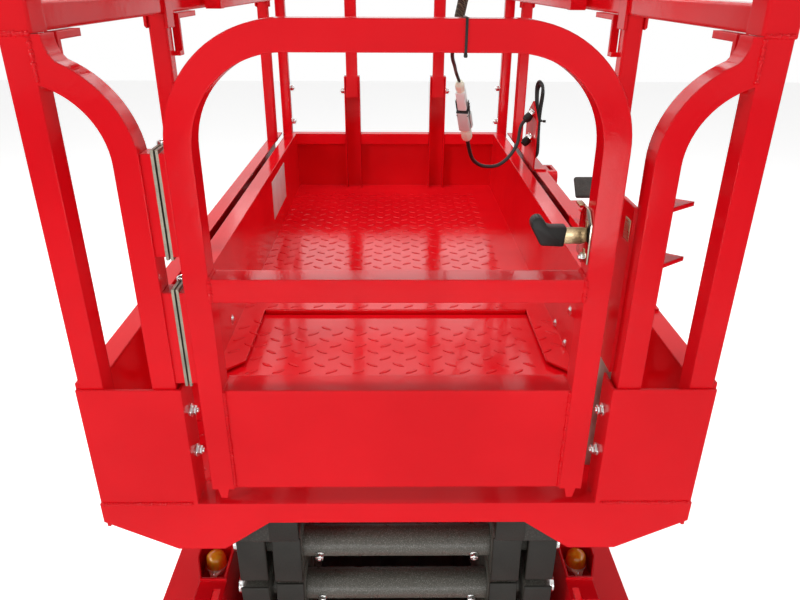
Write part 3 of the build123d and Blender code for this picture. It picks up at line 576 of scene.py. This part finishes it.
def makeConnector(settings):
    # in-line connector: gland nut, plug, locking lever, larger socket, gland nut
    top, low = Vector(settings["top"]), Vector(settings["low"])
    way, length = (low - top).normalized(), (low - top).length
    side = way.cross(Vector((0, 0, 1))).normalized()
    turned = Matrix((side, way.cross(side), way)).transposed().to_4x4()
    turned.translation = top

    def makeNut(name, start, way, size, long):
        end, taper = start + way * long, way * settings["nutTaper"]
        bm = bmesh.new()
        addBar(bm, start, start + taper, size * 0.62, size * 0.95, segments=28)
        addBar(bm, start + way * 0.006, end, size * 1.04, segments=8, round=0.0008)
        addBar(bm, end, end + taper, size * 0.92, segments=28)
        return finishPiece(name, bm, "creamPlastic", "platform")

    def makeHousing(name, blocks, finish):
        bm = bmesh.new()
        for block in blocks:
            bmesh.ops.transform(bm, matrix=turned, verts=addBlock(bm, *block))
        return finishPiece(name, bm, finish, "platform")

    topNut = makeNut("connectorTopNut", top, way, *settings["topNut"])
    lowNut = makeNut("connectorLowNut", low, -way, *settings["lowNut"])
    body, wide, split = settings["plug"], settings["shell"], settings["split"]
    plug = makeHousing("connectorPlug", [
        ((-body, body), (-body * 0.92, body * 0.92), (0.024, split), 0.003, 3),
        ((-body * 0.8, body * 0.8), (-body * 1.12, -body * 0.8), (0.032, 0.056), 0.0012)], "greyPlastic")
    shell = makeHousing("connectorShell", [
        ((-wide, wide), (-wide, wide), (split + 0.002, length - 0.036), 0.0035, 3),
        ((-wide * 0.6, wide * 0.6), (-wide * 1.2, -wide * 0.9), (split + 0.010, length - 0.046), 0.0012),
        ((wide * 0.9, wide * 1.3), (-wide * 0.5, wide * 0.5), (split + 0.012, length - 0.040), 0.003, 3),
    ], "darkGreyPlastic")
    across, lean = (-wide * 1.02, wide * 1.02), Matrix.Rotation(math.radians(settings["leverLean"]), 4, "X")
    bars = [(across, across, (z, z + 0.0016), 0.0005, 2, lean) for z in (split - 0.001, split + 0.007)]
    bars += [((x, x * 1.09), (-0.004, 0.004), (split - 0.022, split + 0.012), 0.0006) for x in (-wide, wide)]
    lever = makeHousing("connectorLever", bars, "blackPlastic")
    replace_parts(plug, "cord_connector")
    return [topNut, plug, lever], [shell, lowNut]


plugPieces, socketPieces = makeConnector(connectorSettings)
cordLength(controlCord)
cordLength(supplyCord)

print("spare cable")
hankSettings = {
    "centre": (0.3585, 0.318, 1.029), "halfHeight": 0.096, "halfWidth": 0.0235, "diameter": 0.006,
    "widths": (1.0, 0.88, 0.94, 0.86), "heights": (1.0, 0.93, 0.97, 0.90), "pinch": 0.45, "lean": 0.16,
    "pitch": 0.0014, "jitter": 0.0004, "tieHalf": 0.0132,
    "start": ((0.3485, 0.302, 0.985), (0.3515, 0.303, 0.992), (0.355, 0.306, 1.004)),
    "end": ((0.0050, 0.015, -0.070), (0.0020, 0.012, -0.095), (0, 0.010, -0.1085)),
}


def makeHank(settings):
    # one cable wound into a long hank with round ends, pinched by its tie at the middle
    cx, cy, cz = settings["centre"]
    route = list(settings["start"])
    rng = random.Random(4)
    jitter, half, lastTurn = settings["jitter"], settings["tieHalf"], len(settings["widths"]) - 1
    for turn, (wide, tall) in enumerate(zip(settings["widths"], settings["heights"])):
        wide *= settings["halfWidth"]
        side = settings["halfHeight"] * tall - wide
        narrow = wide * settings["pinch"]
        arc = [(wide * math.cos(math.radians(a)), wide * math.sin(math.radians(a))) for a in (180, 135, 90, 45, 0)]
        loop = [(-narrow, -side / 3), (-narrow, side / 3), *((y, side + z) for y, z in arc), (narrow, side / 3),
                (narrow, -side / 3)]
        if turn == 0:
            loop = loop[1:]
        if turn < lastTurn:
            loop += [(-y, -side - z) for y, z in arc]
        for y, z in loop:
            x = cx - settings["lean"] * y + (turn - 1.5) * settings["pitch"] + rng.uniform(-jitter, jitter)
            route.append((x, cy + y, cz + z))
    route += [(cx + x, cy + y, cz + z) for x, y, z in settings["end"]]
    hank = makeCordCurve("spareCable", route, settings["diameter"])
    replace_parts(hank, "spare_cable_coil")
    tie = makeBlocks("spareCableTie", [
        ((cx - half * 0.8, cx + half * 0.8), (cy - half, cy + half), (cz - 0.0022, cz + 0.0022), 0.001),
        ((cx + 0.011, cx + 0.018), (cy - 0.016, cy - 0.010), (cz - 0.003, cz + 0.003), 0.001),
    ], "blackPlastic", "platform")
    cordLength(hank)


makeHank(hankSettings)

print("receptacles")
receptacleSettings = {"tips": ((0.322, 0.296, 1.0315), (0.322, 0.296, 0.9725)), "rise": (0.022, 0.006, 0.022),
                      "nut": 0.0120, "body": 0.0105, "mouth": 0.0085, "ribs": 4, "ribPitch": 0.0028}


def makeReceptacles(settings):
    # threaded entries on the bracket: silver lock nut, black body with ribbed cap
    nuts, bodies = bmesh.new(), bmesh.new()
    nut, body, mouth = settings["nut"], settings["body"], settings["mouth"]
    way, length = Vector(settings["rise"]).normalized(), Vector(settings["rise"]).length
    profile = [(0, 0), (mouth * 0.7, 0), (mouth, 0.0014), (mouth, 0.0050)]
    for rib in range(settings["ribs"]):
        height = 0.0055 + rib * settings["ribPitch"]
        profile += [(body * 0.93, height), (body, height + 0.0007), (body, height + 0.0019),
                    (body * 0.93, height + 0.0026)]
    profile += [(body * 0.86, length - 0.0128), (body * 0.86, length - 0.0105), (0, length - 0.0105)]
    for tip in map(Vector, settings["tips"]):
        addBar(nuts, tip + way * (length - 0.0115), tip + way * (length - 0.0045), nut, segments=6, round=0.0008)
        addBar(nuts, tip + way * (length - 0.0030), tip + way * (length - 0.0012), nut * 0.95, round=0.0003)
        addLathe(bodies, profile, tip, way, 28)
    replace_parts(finishPiece("receptacleBodies", bodies, "blackPlastic", "platform"), "receptacles")
    finishPiece("receptacleNuts", nuts, "brightSteel", "platform")


makeReceptacles(receptacleSettings)

print("hand pad")
padSettings = {"x": (0.2395, 0.3060), "centre": (-0.530, 1.095), "size": (0.031, 0.007), "lean": 45,
               "neck": (0.288, -0.526), "shelf": 1.0475}


def makeHandPad(settings):
    # rubber face leaning back on a short neck above its shelf
    y, z = settings["centre"]
    deep, thick = settings["size"]
    shelf, turn = settings["shelf"], Matrix.Rotation(math.radians(settings["lean"]), 4, "X")
    face = (settings["x"], (y - deep / 2, y + deep / 2), (z - thick / 2, z + thick / 2), 0.0030, 3, turn)
    makeBlocks("handPadFace", [face], "padRubber", "platform")
    neck = bmesh.new()
    addBar(neck, (*settings["neck"], shelf), (*settings["neck"], z), 0.0060, segments=20)
    addBar(neck, (*settings["neck"], shelf - 0.0005), (*settings["neck"], shelf + 0.0045), 0.0110, round=0.0010)
    finishPiece("handPadNeck", neck, "redPaint", "platform")


makeHandPad(padSettings)

print("chassis corners")
cornerSettings = {"centre": (0.370, 0.775), "radius": 0.035, "wall": 0.004, "z": (0.110, 0.370)}


def makeCorners(settings):
    # rolled corner plates between the end covers' faces and sides
    r, t = settings["radius"], settings["wall"]
    z0, z1 = settings["z"]
    bm = bmesh.new()
    for sx in (-1, 1):
        for sy in (-1, 1):
            verts = [bm.verts.new((x, 0, z)) for x, z in ((r - t, z0), (r, z0), (r, z1), (r - t, z1))]
            face = bm.faces.new(verts)
            bmesh.ops.spin(bm, geom=[face, *face.edges, *verts], cent=(0, 0, 0), axis=(0, 0, 1),
                           angle=math.pi / 2, steps=12, use_merge=False)
            made = [vert for vert in bm.verts if not vert.tag]
            place = Matrix.Translation((sx * settings["centre"][0], sy * settings["centre"][1], 0))
            bmesh.ops.transform(bm, matrix=place @ Matrix.Diagonal((sx, sy, 1, 1)), verts=made)
            for vert in made:
                vert.tag = True
    finishPiece("chassisCorners", bm, "redPaint", "chassis")


makeCorners(cornerSettings)

print("control box")
controlSettings = {
    "ledge": 1.776, "stickX": 0.062, "stopX": 0.140, "y": -0.611, "face": -0.581, "switchX": (0.045, 0.085, 0.125),
    "switchZ": 1.735, "key": (0.152, 1.700), "plugX": (0.045, 0.085), "plugZ": 1.690, "screwX": (0.027, 0.168),
    "screwZ": (1.645, 1.768),
    "stick": ((0, 0), (0.021, 0.0), (0.021, 0.003), (0.017, 0.004), (0.0155, 0.008), (0.0165, 0.010),
              (0.0120, 0.015), (0.0130, 0.017), (0.0085, 0.022), (0.0070, 0.026), (0.0095, 0.031), (0.0105, 0.044),
              (0.0090, 0.055), (0.0060, 0.058), (0, 0.0585)),
    "stop": ((0, 0.007), (0.0090, 0.007), (0.0090, 0.017), (0.0170, 0.019), (0.0185, 0.022), (0.0180, 0.027),
             (0.0120, 0.031), (0, 0.032)),
    "collar": ((0, 0), (0.0200, 0), (0.0200, 0.005), (0.0185, 0.0075), (0, 0.0075)),
    "plug": ((0, 0), (0.0095, 0), (0.0095, 0.003), (0.0070, 0.0045), (0, 0.005)),
}


def makeControls(settings):
    # stick and stop button on the ledge; switches, key, blank plugs and screws on the face
    ledge, y, face, stickX = settings["ledge"], settings["y"], settings["face"], settings["stickX"]
    up, out, stop = (0, 0, 1), (0, 1, 0), (settings["stopX"], y, ledge)
    black, metal, red, yellow = bmesh.new(), bmesh.new(), bmesh.new(), bmesh.new()
    addLathe(black, settings["stick"], (stickX, y, ledge), up)
    addBlock(black, (stickX - 0.004, stickX + 0.004), (y + 0.008, y + 0.0125), (ledge + 0.036, ledge + 0.050),
             0.0012)
    addLathe(yellow, settings["collar"], stop, up, 36)
    addLathe(red, settings["stop"], stop, up, 36)
    z = settings["switchZ"]
    for x in settings["switchX"]:
        addBar(metal, (x, face - 0.001, z), (x, face + 0.003, z), 0.0075, segments=6, round=0.0006)
        addBar(metal, (x, face + 0.002, z), (x, face + 0.018, z + 0.004), 0.0028, 0.0036, 16, 0.0010)
    x, z = settings["key"]
    addBar(metal, (x, face - 0.001, z), (x, face + 0.004, z), 0.0100, segments=32, round=0.0008)
    addBlock(black, (x - 0.0008, x + 0.0008), (face + 0.0035, face + 0.0046), (z - 0.005, z + 0.005))
    for x in settings["plugX"]:
        addLathe(black, settings["plug"], (x, face, settings["plugZ"]), out, 28)
    for x in settings["screwX"]:
        for z in settings["screwZ"]:
            addDomeBolt(metal, (x, face, z), out, 0.0032)
    finishPiece("controlStick", black, "blackPlastic", "platform")
    finishPiece("controlSwitches", metal, "brightSteel", "platform")
    finishPiece("stopButton", red, "stopRed", "platform")
    finishPiece("stopCollar", yellow, "stopYellow", "platform")


makeControls(controlSettings)

print("tray doors")
traySettings = {"x": 0.405, "louvreY": ((-0.250, -0.130), (0.150, 0.270)), "louvreZ": (0.190, 0.310), "rows": 6,
                "lean": 24, "handle": (-0.345, 0.300), "screwY": (-0.365, 0.365), "screwZ": (0.125, 0.345)}


def makeTrayTrim(side, body, settings):
    # pressed louvres, a turn latch and four dome screws
    x = side * settings["x"]
    louvres, metal = bmesh.new(), bmesh.new()
    z0, z1 = settings["louvreZ"]
    turn = Matrix.Rotation(side * math.radians(settings["lean"]), 4, "Y")
    for row in range(settings["rows"]):
        z = z0 + (z1 - z0) * row / (settings["rows"] - 1)
        for span in settings["louvreY"]:
            addBlock(louvres, (x - 0.0015, x + 0.0015), span, (z - 0.006, z + 0.006), 0.0012, 2, turn)
    y, z = settings["handle"]
    addBar(metal, (x - side * 0.001, y, z), (x + side * 0.004, y, z), 0.0170, segments=32, round=0.0012)
    addBlock(metal, (x + side * 0.003, x + side * 0.0095), (y - 0.0035, y + 0.0035), (z - 0.0125, z + 0.0125),
             0.0015)
    for y in settings["screwY"]:
        for z in settings["screwZ"]:
            addDomeBolt(metal, (x, y, z), (side, 0, 0), 0.0052)
    finishPiece(f"{body}_louvres", louvres, "redPaint", body)
    finishPiece(f"{body}_latch", metal, "brightSteel", body)


makeTrayTrim(-1, "battery_drawer", traySettings)
makeTrayTrim(1, "hydraulic_drawer", traySettings)

print("arm caps and bolts")
stack = {"ground": 0.367, "pitch": 0.084, "span": 1.360, "rearY": -0.684, "overhang": 0.038, "outerX": 0.1995,
         "innerX": 0.151, "width": 0.038, "outerHeight": 0.078, "innerHeight": 0.072, "capThick": 0.0045,
         "tubeRadius": 0.022, "boltX": 0.109, "discX": (0.2245, 0.2292), "discRadius": 0.0155}
restTilt = math.asin(stack["pitch"] / stack["span"])
frontPinY = stack["rearY"] + stack["span"] * math.cos(restTilt)


def pinHeight(level):
    return stack["ground"] + level * stack["pitch"]


def makeArmCaps(level, kind):
    # plugs in both ends of a pair of arms; the outer arms rise to the front
    rises = 1 if kind == "outer" else -1
    tilt = restTilt * rises
    height = stack[kind + "Height"] / 2 + 0.0012
    width, half = stack["width"] / 2 + 0.0008, stack["capThick"] / 2
    rearZ, frontZ = (pinHeight(level - 1), pinHeight(level))[::rises]
    reach = stack["overhang"] + half
    turn = Matrix.Rotation(tilt, 4, "X")
    blocks = []
    for pinY, pinZ, way in ((stack["rearY"], rearZ, -1), (frontPinY, frontZ, 1)):
        y = pinY + way * reach * math.cos(tilt)
        z = pinZ + way * reach * math.sin(tilt)
        blocks += [((x - width, x + width), (y - half, y + half), (z - height, z + height), 0.0022, 3, turn)
                   for x in (-stack[kind + "X"], stack[kind + "X"])]
    makeBlocks(f"{kind}ArmCaps{level}", blocks, "capPlastic", f"{kind}_{level}")


def makeTubeBolts(level):
    # cross bolts that hold the pins in their tubes
    spots = [(stack["rearY"], pinHeight(level))]
    if level != 2:
        spots.append(((stack["rearY"] + frontPinY) / 2, pinHeight(level - 0.5)))
    if level != 3:
        spots.append((frontPinY, pinHeight(level - 1)))
    way = Vector((0, -0.948, -0.317))
    bm = bmesh.new()
    for y, z in spots:
        for x in (-stack["boltX"], stack["boltX"]):
            at = Vector((x, y, z)) + way * (stack["tubeRadius"] - 0.0006)
            addHexBolt(bm, at, way, 0.0110, 0.0058, 0.0066)
    finishPiece(f"tubeBolts{level}", bm, "brightSteel", f"inner_{level}")


def makePinDiscs(level):
    # turned washers under the pins' ends, outside the outer arms
    bm = bmesh.new()
    near, far = stack["discX"]
    for y, z in ((stack["rearY"], pinHeight(level)), (frontPinY, pinHeight(level - 1))):
        for side in (-1, 1):
            addBar(bm, (side * near, y, z), (side * far, y, z), stack["discRadius"], segments=36, round=0.0008)
    finishPiece(f"pinDiscs{level}", bm, "brightSteel", f"inner_{level}")


bracketCaps = (  # middle, half width, y and z limits, edge radius and its segments
    (stack["outerX"], 0.0198, (-0.7262, -0.7208), (0.5835, 0.6640), 0.0025, 3),
    (stack["outerX"], 0.0198, (-0.7300, -0.7208), (0.6655, 0.7310), 0.0025, 3),
    (stack["innerX"], 0.0195, (-0.7362, -0.7348), (0.6680, 0.7310), 0.0005, 2),
)
makeBlocks("bracketCaps", [((side * x - half, side * x + half), *rest) for side in (-1, 1)
                           for x, half, *rest in bracketCaps], "capPlastic", "platform")
for level in (1, 2, 3):
    makePinDiscs(level)
    makeArmCaps(level, "outer")
    makeArmCaps(level, "inner")
    makeTubeBolts(level)

print("chassis well")
wellBlocks = [  # thin black sheet and low black blocks on the chassis floor, under the arms, so the floor between the arms reads dark
    ((-0.152, 0.152), (-0.560, 0.300), (0.2935, 0.2960), 0.001),
    ((-0.112, -0.030), (-0.490, -0.380), (0.2955, 0.3180), 0.003, 3),
    ((0.046, 0.112), (-0.470, -0.400), (0.2955, 0.3120), 0.003, 3),
    ((-0.026, 0.040), (-0.300, -0.210), (0.2955, 0.3100), 0.003, 3),
]
makeBlocks("chassisWell", wellBlocks, "padRubber", "chassis")

print("beacons")
beaconSettings = {"x": 0.276, "y": 0.6475, "foot": 0.521, "riser": 0.010, "lens": 0.0152, "height": 0.0225,
                  "reach": 0.0246, "waist": 0.0166, "tip": 0.0040, "flange": 0.003}


def makeBeacons(settings):
    # amber lens on a two-eared foot with a screw in each ear
    lens, base, screws = bmesh.new(), bmesh.new(), bmesh.new()
    r, h, up = settings["lens"], settings["height"], Vector((0, 0, 1))
    reach, waist, tip, thick = settings["reach"], settings["waist"], settings["tip"], settings["flange"]
    flange = [(-waist, 0), (-tip, -reach), (tip, -reach), (waist, 0), (tip, reach), (-tip, reach)]
    dome = [(0, h), (r * 0.4, h * 0.985), (r * 0.7, h * 0.93), (r * 0.9, h * 0.8), (r * 0.98, h * 0.6),
            (r, h * 0.3), (r * 1.03, h * 0.14), (r * 1.03, 0.0)]
    ring = [(0, 0.0052), (r * 1.04, 0.0052), (r * 1.08, 0.0028), (r * 1.08, 0.002)]
    for x in (-settings["x"], settings["x"]):
        for y in (-settings["y"], settings["y"]):
            foot = Vector((x, y, settings["foot"] + settings["riser"]))
            addBar(base, foot - up * settings["riser"], foot, 0.0110)
            addOutline(base, flange, thick, Matrix.Translation(foot), 0.0009)
            addLathe(base, ring, foot, up)
            addLathe(lens, dome, foot + up * 0.0025, up, 40)
            for ear in (-0.80, 0.80):
                at = foot + Vector((0, ear * reach, thick))
                addDomeBolt(screws, at, up, 0.0021)
                addBlock(screws, (at.x - 0.0017, at.x + 0.0017), (at.y - 0.0003, at.y + 0.0003),
                         (at.z + 0.0008, at.z + 0.0016))
    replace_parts(finishPiece("beaconLenses", lens, "amberLens", "chassis"), "beacons")
    finishPiece("beaconBases", base, "creamPlastic", "chassis")
    finishPiece("beaconScrews", screws, "brightSteel", "chassis")


makeBeacons(beaconSettings)

print("gate latch")
floorHeight = 0.736
latchSettings = {  # the rivets' and the grip's heights are above the platform's floor
    "x": 0.2055, "thick": 0.0025, "leverY": -0.700, "gripThick": 0.017, "rivetY": -0.7205, "rivetZ": (0.372, 0.340),
    "plate": ((-0.735, 1.066), (-0.690, 1.066), (-0.690, 1.112), (-0.702, 1.124), (-0.723, 1.124), (-0.735, 1.112)),
    "grip": ((0.1862, 0.3416), (0.1850, 0.3405), (0.1615, 0.3416), (0.1598, 0.3428), (0.1490, 0.3615),
             (0.1476, 0.3660), (0.1483, 0.3703), (0.1508, 0.3736), (0.1545, 0.3753), (0.1582, 0.3750),
             (0.1615, 0.3726), (0.1637, 0.3684), (0.1660, 0.3648), (0.1700, 0.3633), (0.1883, 0.3635)),
}
upright = Matrix(((1, 0, 0, 0), (0, 0, -1, 0), (0, 1, 0, 0), (0, 0, 0, 1)))  # outline x, y to X, Z
sideways = Matrix(((0, 0, 1, 0), (1, 0, 0, 0), (0, 1, 0, 0), (0, 0, 0, 1)))  # outline x, y to Y, Z


def makeLatch(settings):
    # polished plate on the gate's post, a flat lever behind it and the lever's moulded grip
    y, rivetY, f = settings["leverY"], settings["rivetY"], floorHeight
    plate, lever, grip = bmesh.new(), bmesh.new(), bmesh.new()
    place = Matrix.Translation((settings["x"], 0, 0)) @ sideways
    addOutline(plate, settings["plate"], settings["thick"], place, 0.0005)
    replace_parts(finishPiece("latchPlate", plate, "mirrorZinc", "gate"), "gate_latch")
    addBlock(lever, (0.186, 0.2095), (y - 0.002, y + 0.002), (f + 0.342, f + 0.361), 0.0008)
    for z in settings["rivetZ"]:
        addBar(lever, (0.2045, rivetY, f + z), (0.2062, rivetY, f + z), 0.004, segments=20, round=0.0005)
    addBlock(lever, (0.1985, 0.2055), (-0.7065, -0.6930), (f + 0.3885, f + 0.3903), 0.0006)
    finishPiece("latchLever", lever, "tanZinc", "gate")
    place = Matrix.Translation((0, y + settings["gripThick"] / 2, f)) @ upright
    addOutline(grip, settings["grip"], settings["gripThick"], place, 0.0022)
    finishPiece("latchGrip", grip, "blackPlastic", "gate")


makeLatch(latchSettings)
strikeBlock = ((0.2575, 0.2592), (-0.7072, -0.6892), (1.0825, 1.1072), 0.0004)  # plate behind the strike's slot
makeBlocks("strikeBacking", [strikeBlock], "tanZinc", "platform")

print("screws and bolts")
boltSettings = {
    # body, place on the right, which way the heads face, then flats, head height and washer radius
    "pairs": (("platform", 0.256, (-0.7145,), (0.863, 0.802), -1, (0.0105, 0.0058, 0.0085)),
              ("extension", 0.318, (0.717,), (1.051, 0.952), -1, (0.0150, 0.0095, 0.0100)),
              ("extension", 0.153, (0.7165,), (1.043,), 1, (0.0150, 0.0085, 0.0100)),
              ("platform", 0.380, (-0.180, 0.020, 0.220, 0.420, 0.620), (0.716,), 1, (0.0105, 0.0050, 0.0080))),
    "domes": ((0.306, -0.262, 0.752), (0.306, -0.342, 0.752), (0.306, -0.350, 0.822), (-0.306, -0.2837, 0.7711)),
    "gate": (0.208, -0.7200, 1.0695),
}


def makeBolts(settings):
    meshes = {"platform": bmesh.new(), "extension": bmesh.new(), "gate": bmesh.new()}
    for body, x, yPlaces, zPlaces, facing, sizes in settings["pairs"]:
        spots = [(side, y, z) for side in (-1, 1) for y in yPlaces for z in zPlaces]
        for side, y, z in spots:
            addHexBolt(meshes[body], (side * x, y, z), (side * facing, 0, 0), *sizes)
    for x, y, z in settings["domes"]:
        addDomeBolt(meshes["extension"], (x, y, z), (-x, 0, 0), 0.0072)
    x, y, z = settings["gate"]
    addHexBolt(meshes["gate"], (x, y, z), (-1, 0, 0), 0.0095, 0.0045, 0.0060)
    addDomeBolt(meshes["gate"], (x - 0.0044, y, z), (-1, 0, 0), 0.0040)
    for body, bm in meshes.items():
        finishPiece(f"{body}Bolts", bm, "brightSteel", body)


makeBolts(boltSettings)

hingeSettings = {"place": (-0.247, -0.704), "tops": (1.191, 1.036), "ring": 0.0062, "wall": 0.0018}


def makePinRings(settings):
    # rolled end of each hinge, open in its middle
    bm = bmesh.new()
    r, t = settings["ring"], settings["wall"]
    profile = [(r - t, -0.001), (r, -0.001), (r, 0.0026), (r - t * 0.5, 0.0032), (r - t, 0.0026), (r - t, -0.001)]
    for top in settings["tops"]:
        addLathe(bm, profile, (*settings["place"], top), (0, 0, 1), 28)
    finishPiece("hingePinRings", bm, "brightSteel", "platform")


makePinRings(hingeSettings)

print("gate tie")
tieSettings = {"x": (0.0627, 0.0653), "strap": 0.0013, "y": (-0.737, -0.709), "z": (1.2845, 1.315)}


def makeGateTie(settings):
    # narrow strap round the gate's top bar, its head and cut tail below
    x, t = settings["x"], settings["strap"]
    y0, y1 = settings["y"]
    z0, z1 = settings["z"]
    tall, deep = (z0 - t, z1 + t), (y0 - t, y1 + t)
    makeBlocks("gateTie", [
        (x, (y0 - t, y0), tall, 0.0004), (x, (y1, y1 + t), tall, 0.0004), (x, deep, (z1, z1 + t), 0.0004),
        (x, deep, (z0 - t, z0), 0.0004),
        ((x[0] - 0.0006, x[1] + 0.0004), (y0 - t * 2.0, y0 + 0.002), (z0 - 0.0042, z0 - 0.0006), 0.0010),
    ], "blackPlastic", "gate")


makeGateTie(tieSettings)

print("checker plate")
checkerSettings = {"pitch": 0.046, "long": 0.0118, "wide": 0.0040, "proud": 0.0009, "lean": 34}


def repeatPiece(piece, axis, step, count):
    array = piece.modifiers.new("row" if axis == 0 else "column", "ARRAY")
    array.use_relative_offset = False
    array.use_constant_offset = True
    array.constant_offset_displace = [step if index == axis else 0 for index in range(3)]
    array.count = count


def makeChecker(name, xSpan, ySpan, height, body, settings):
    # raised lozenges, one set turned left and the other, between them, turned right
    pitch = settings["pitch"]
    bm = bmesh.new()
    for shift, degrees in ((0, settings["lean"]), (pitch / 2, -settings["lean"])):
        place = Matrix.Translation((xSpan[0] + shift, ySpan[0] + shift, height))
        place = place @ Matrix.Rotation(math.radians(degrees), 4, "Z")
        place = place @ Matrix.Diagonal((settings["long"], settings["wide"], settings["proud"], 1))
        bmesh.ops.create_uvsphere(bm, u_segments=12, v_segments=6, radius=1.0, matrix=place)
    piece = finishPiece(name, bm, "redPaint", body, angle=60)
    for axis, span in enumerate((xSpan, ySpan)):
        repeatPiece(piece, axis, pitch, int((span[1] - span[0]) / pitch))


makeChecker("deckChecker", (-0.2955, 0.2955), (-0.6900, -0.2000), 0.736, "platform", checkerSettings)
makeChecker("extensionChecker", (-0.2955, 0.2955), (-0.1750, 0.6900), 0.746, "extension", checkerSettings)
for side, edge in (("left", -0.2900), ("right", 0.2700)):
    makeChecker(f"{side}FlangeChecker", (edge, edge + 0.047), (-0.3600, -0.2000), 0.746, "extension", checkerSettings)

lipBlock = ((-0.262, 0.262), (-0.1935, -0.1895), (0.7374, 0.7455), 0.0016, 3)  # turned-down front of the sliding deck
makeBlocks("extensionLip", [lipBlock], "redPaint", "extension")
plateBlock = ((-0.3060, -0.3052), (0.226, 0.430), (0.797, 0.893), 0.0003)  # bare plate on the extension's left wall
makeBlocks("blankPlate", [plateBlock], "platePaint", "extension")

print("welds")
weldSettings = {"ripple": 0.0036, "size": 0.0029}
weldLines = {  # ends of each bead on the right; the left side has its twin
    "gate": (((0.2076, -0.7335, 0.758), (0.2076, -0.7335, 0.902)), ((0.2080, -0.7370, 1.021), (0.2080, -0.7370, 1.049)),
             ((0.2080, -0.7365, 1.0492), (0.2080, -0.7095, 1.0492))),
    "platform": (((0.262, -0.7402, 0.7365), (0.378, -0.7402, 0.7365)),
                 ((0.3480, -0.7368, 1.2560), (0.3480, -0.7368, 1.2980)),
                 ((0.346, -0.7370, 1.3002), (0.378, -0.7370, 1.3002))),
}


def makeWelds(body, lines, settings):
    # each run is one bead, rippled along its length, no two ripples alike
    rng = random.Random(11)
    bm = bmesh.new()
    for line in lines:
        for side in (-1, 1):
            start, end = (Vector((side * x, y, z)) for x, y, z in line)
            length = (end - start).length
            count = max(int(length / settings["ripple"]), 2)
            step = length / count
            profile = [(0, 0)]
            for index in range(count):
                size = settings["size"] * rng.uniform(0.8, 1.2)
                profile += [(size * 0.62, step * index + step * 0.06), (size, step * (index + 0.4)),
                            (size * 0.92, step * (index + 0.75))]
            addLathe(bm, profile + [(0, length)], start, end - start, 10)
    finishPiece(f"{body}Welds", bm, "redPaint", body, angle=70)


for body, lines in weldLines.items():
    makeWelds(body, lines, weldSettings)
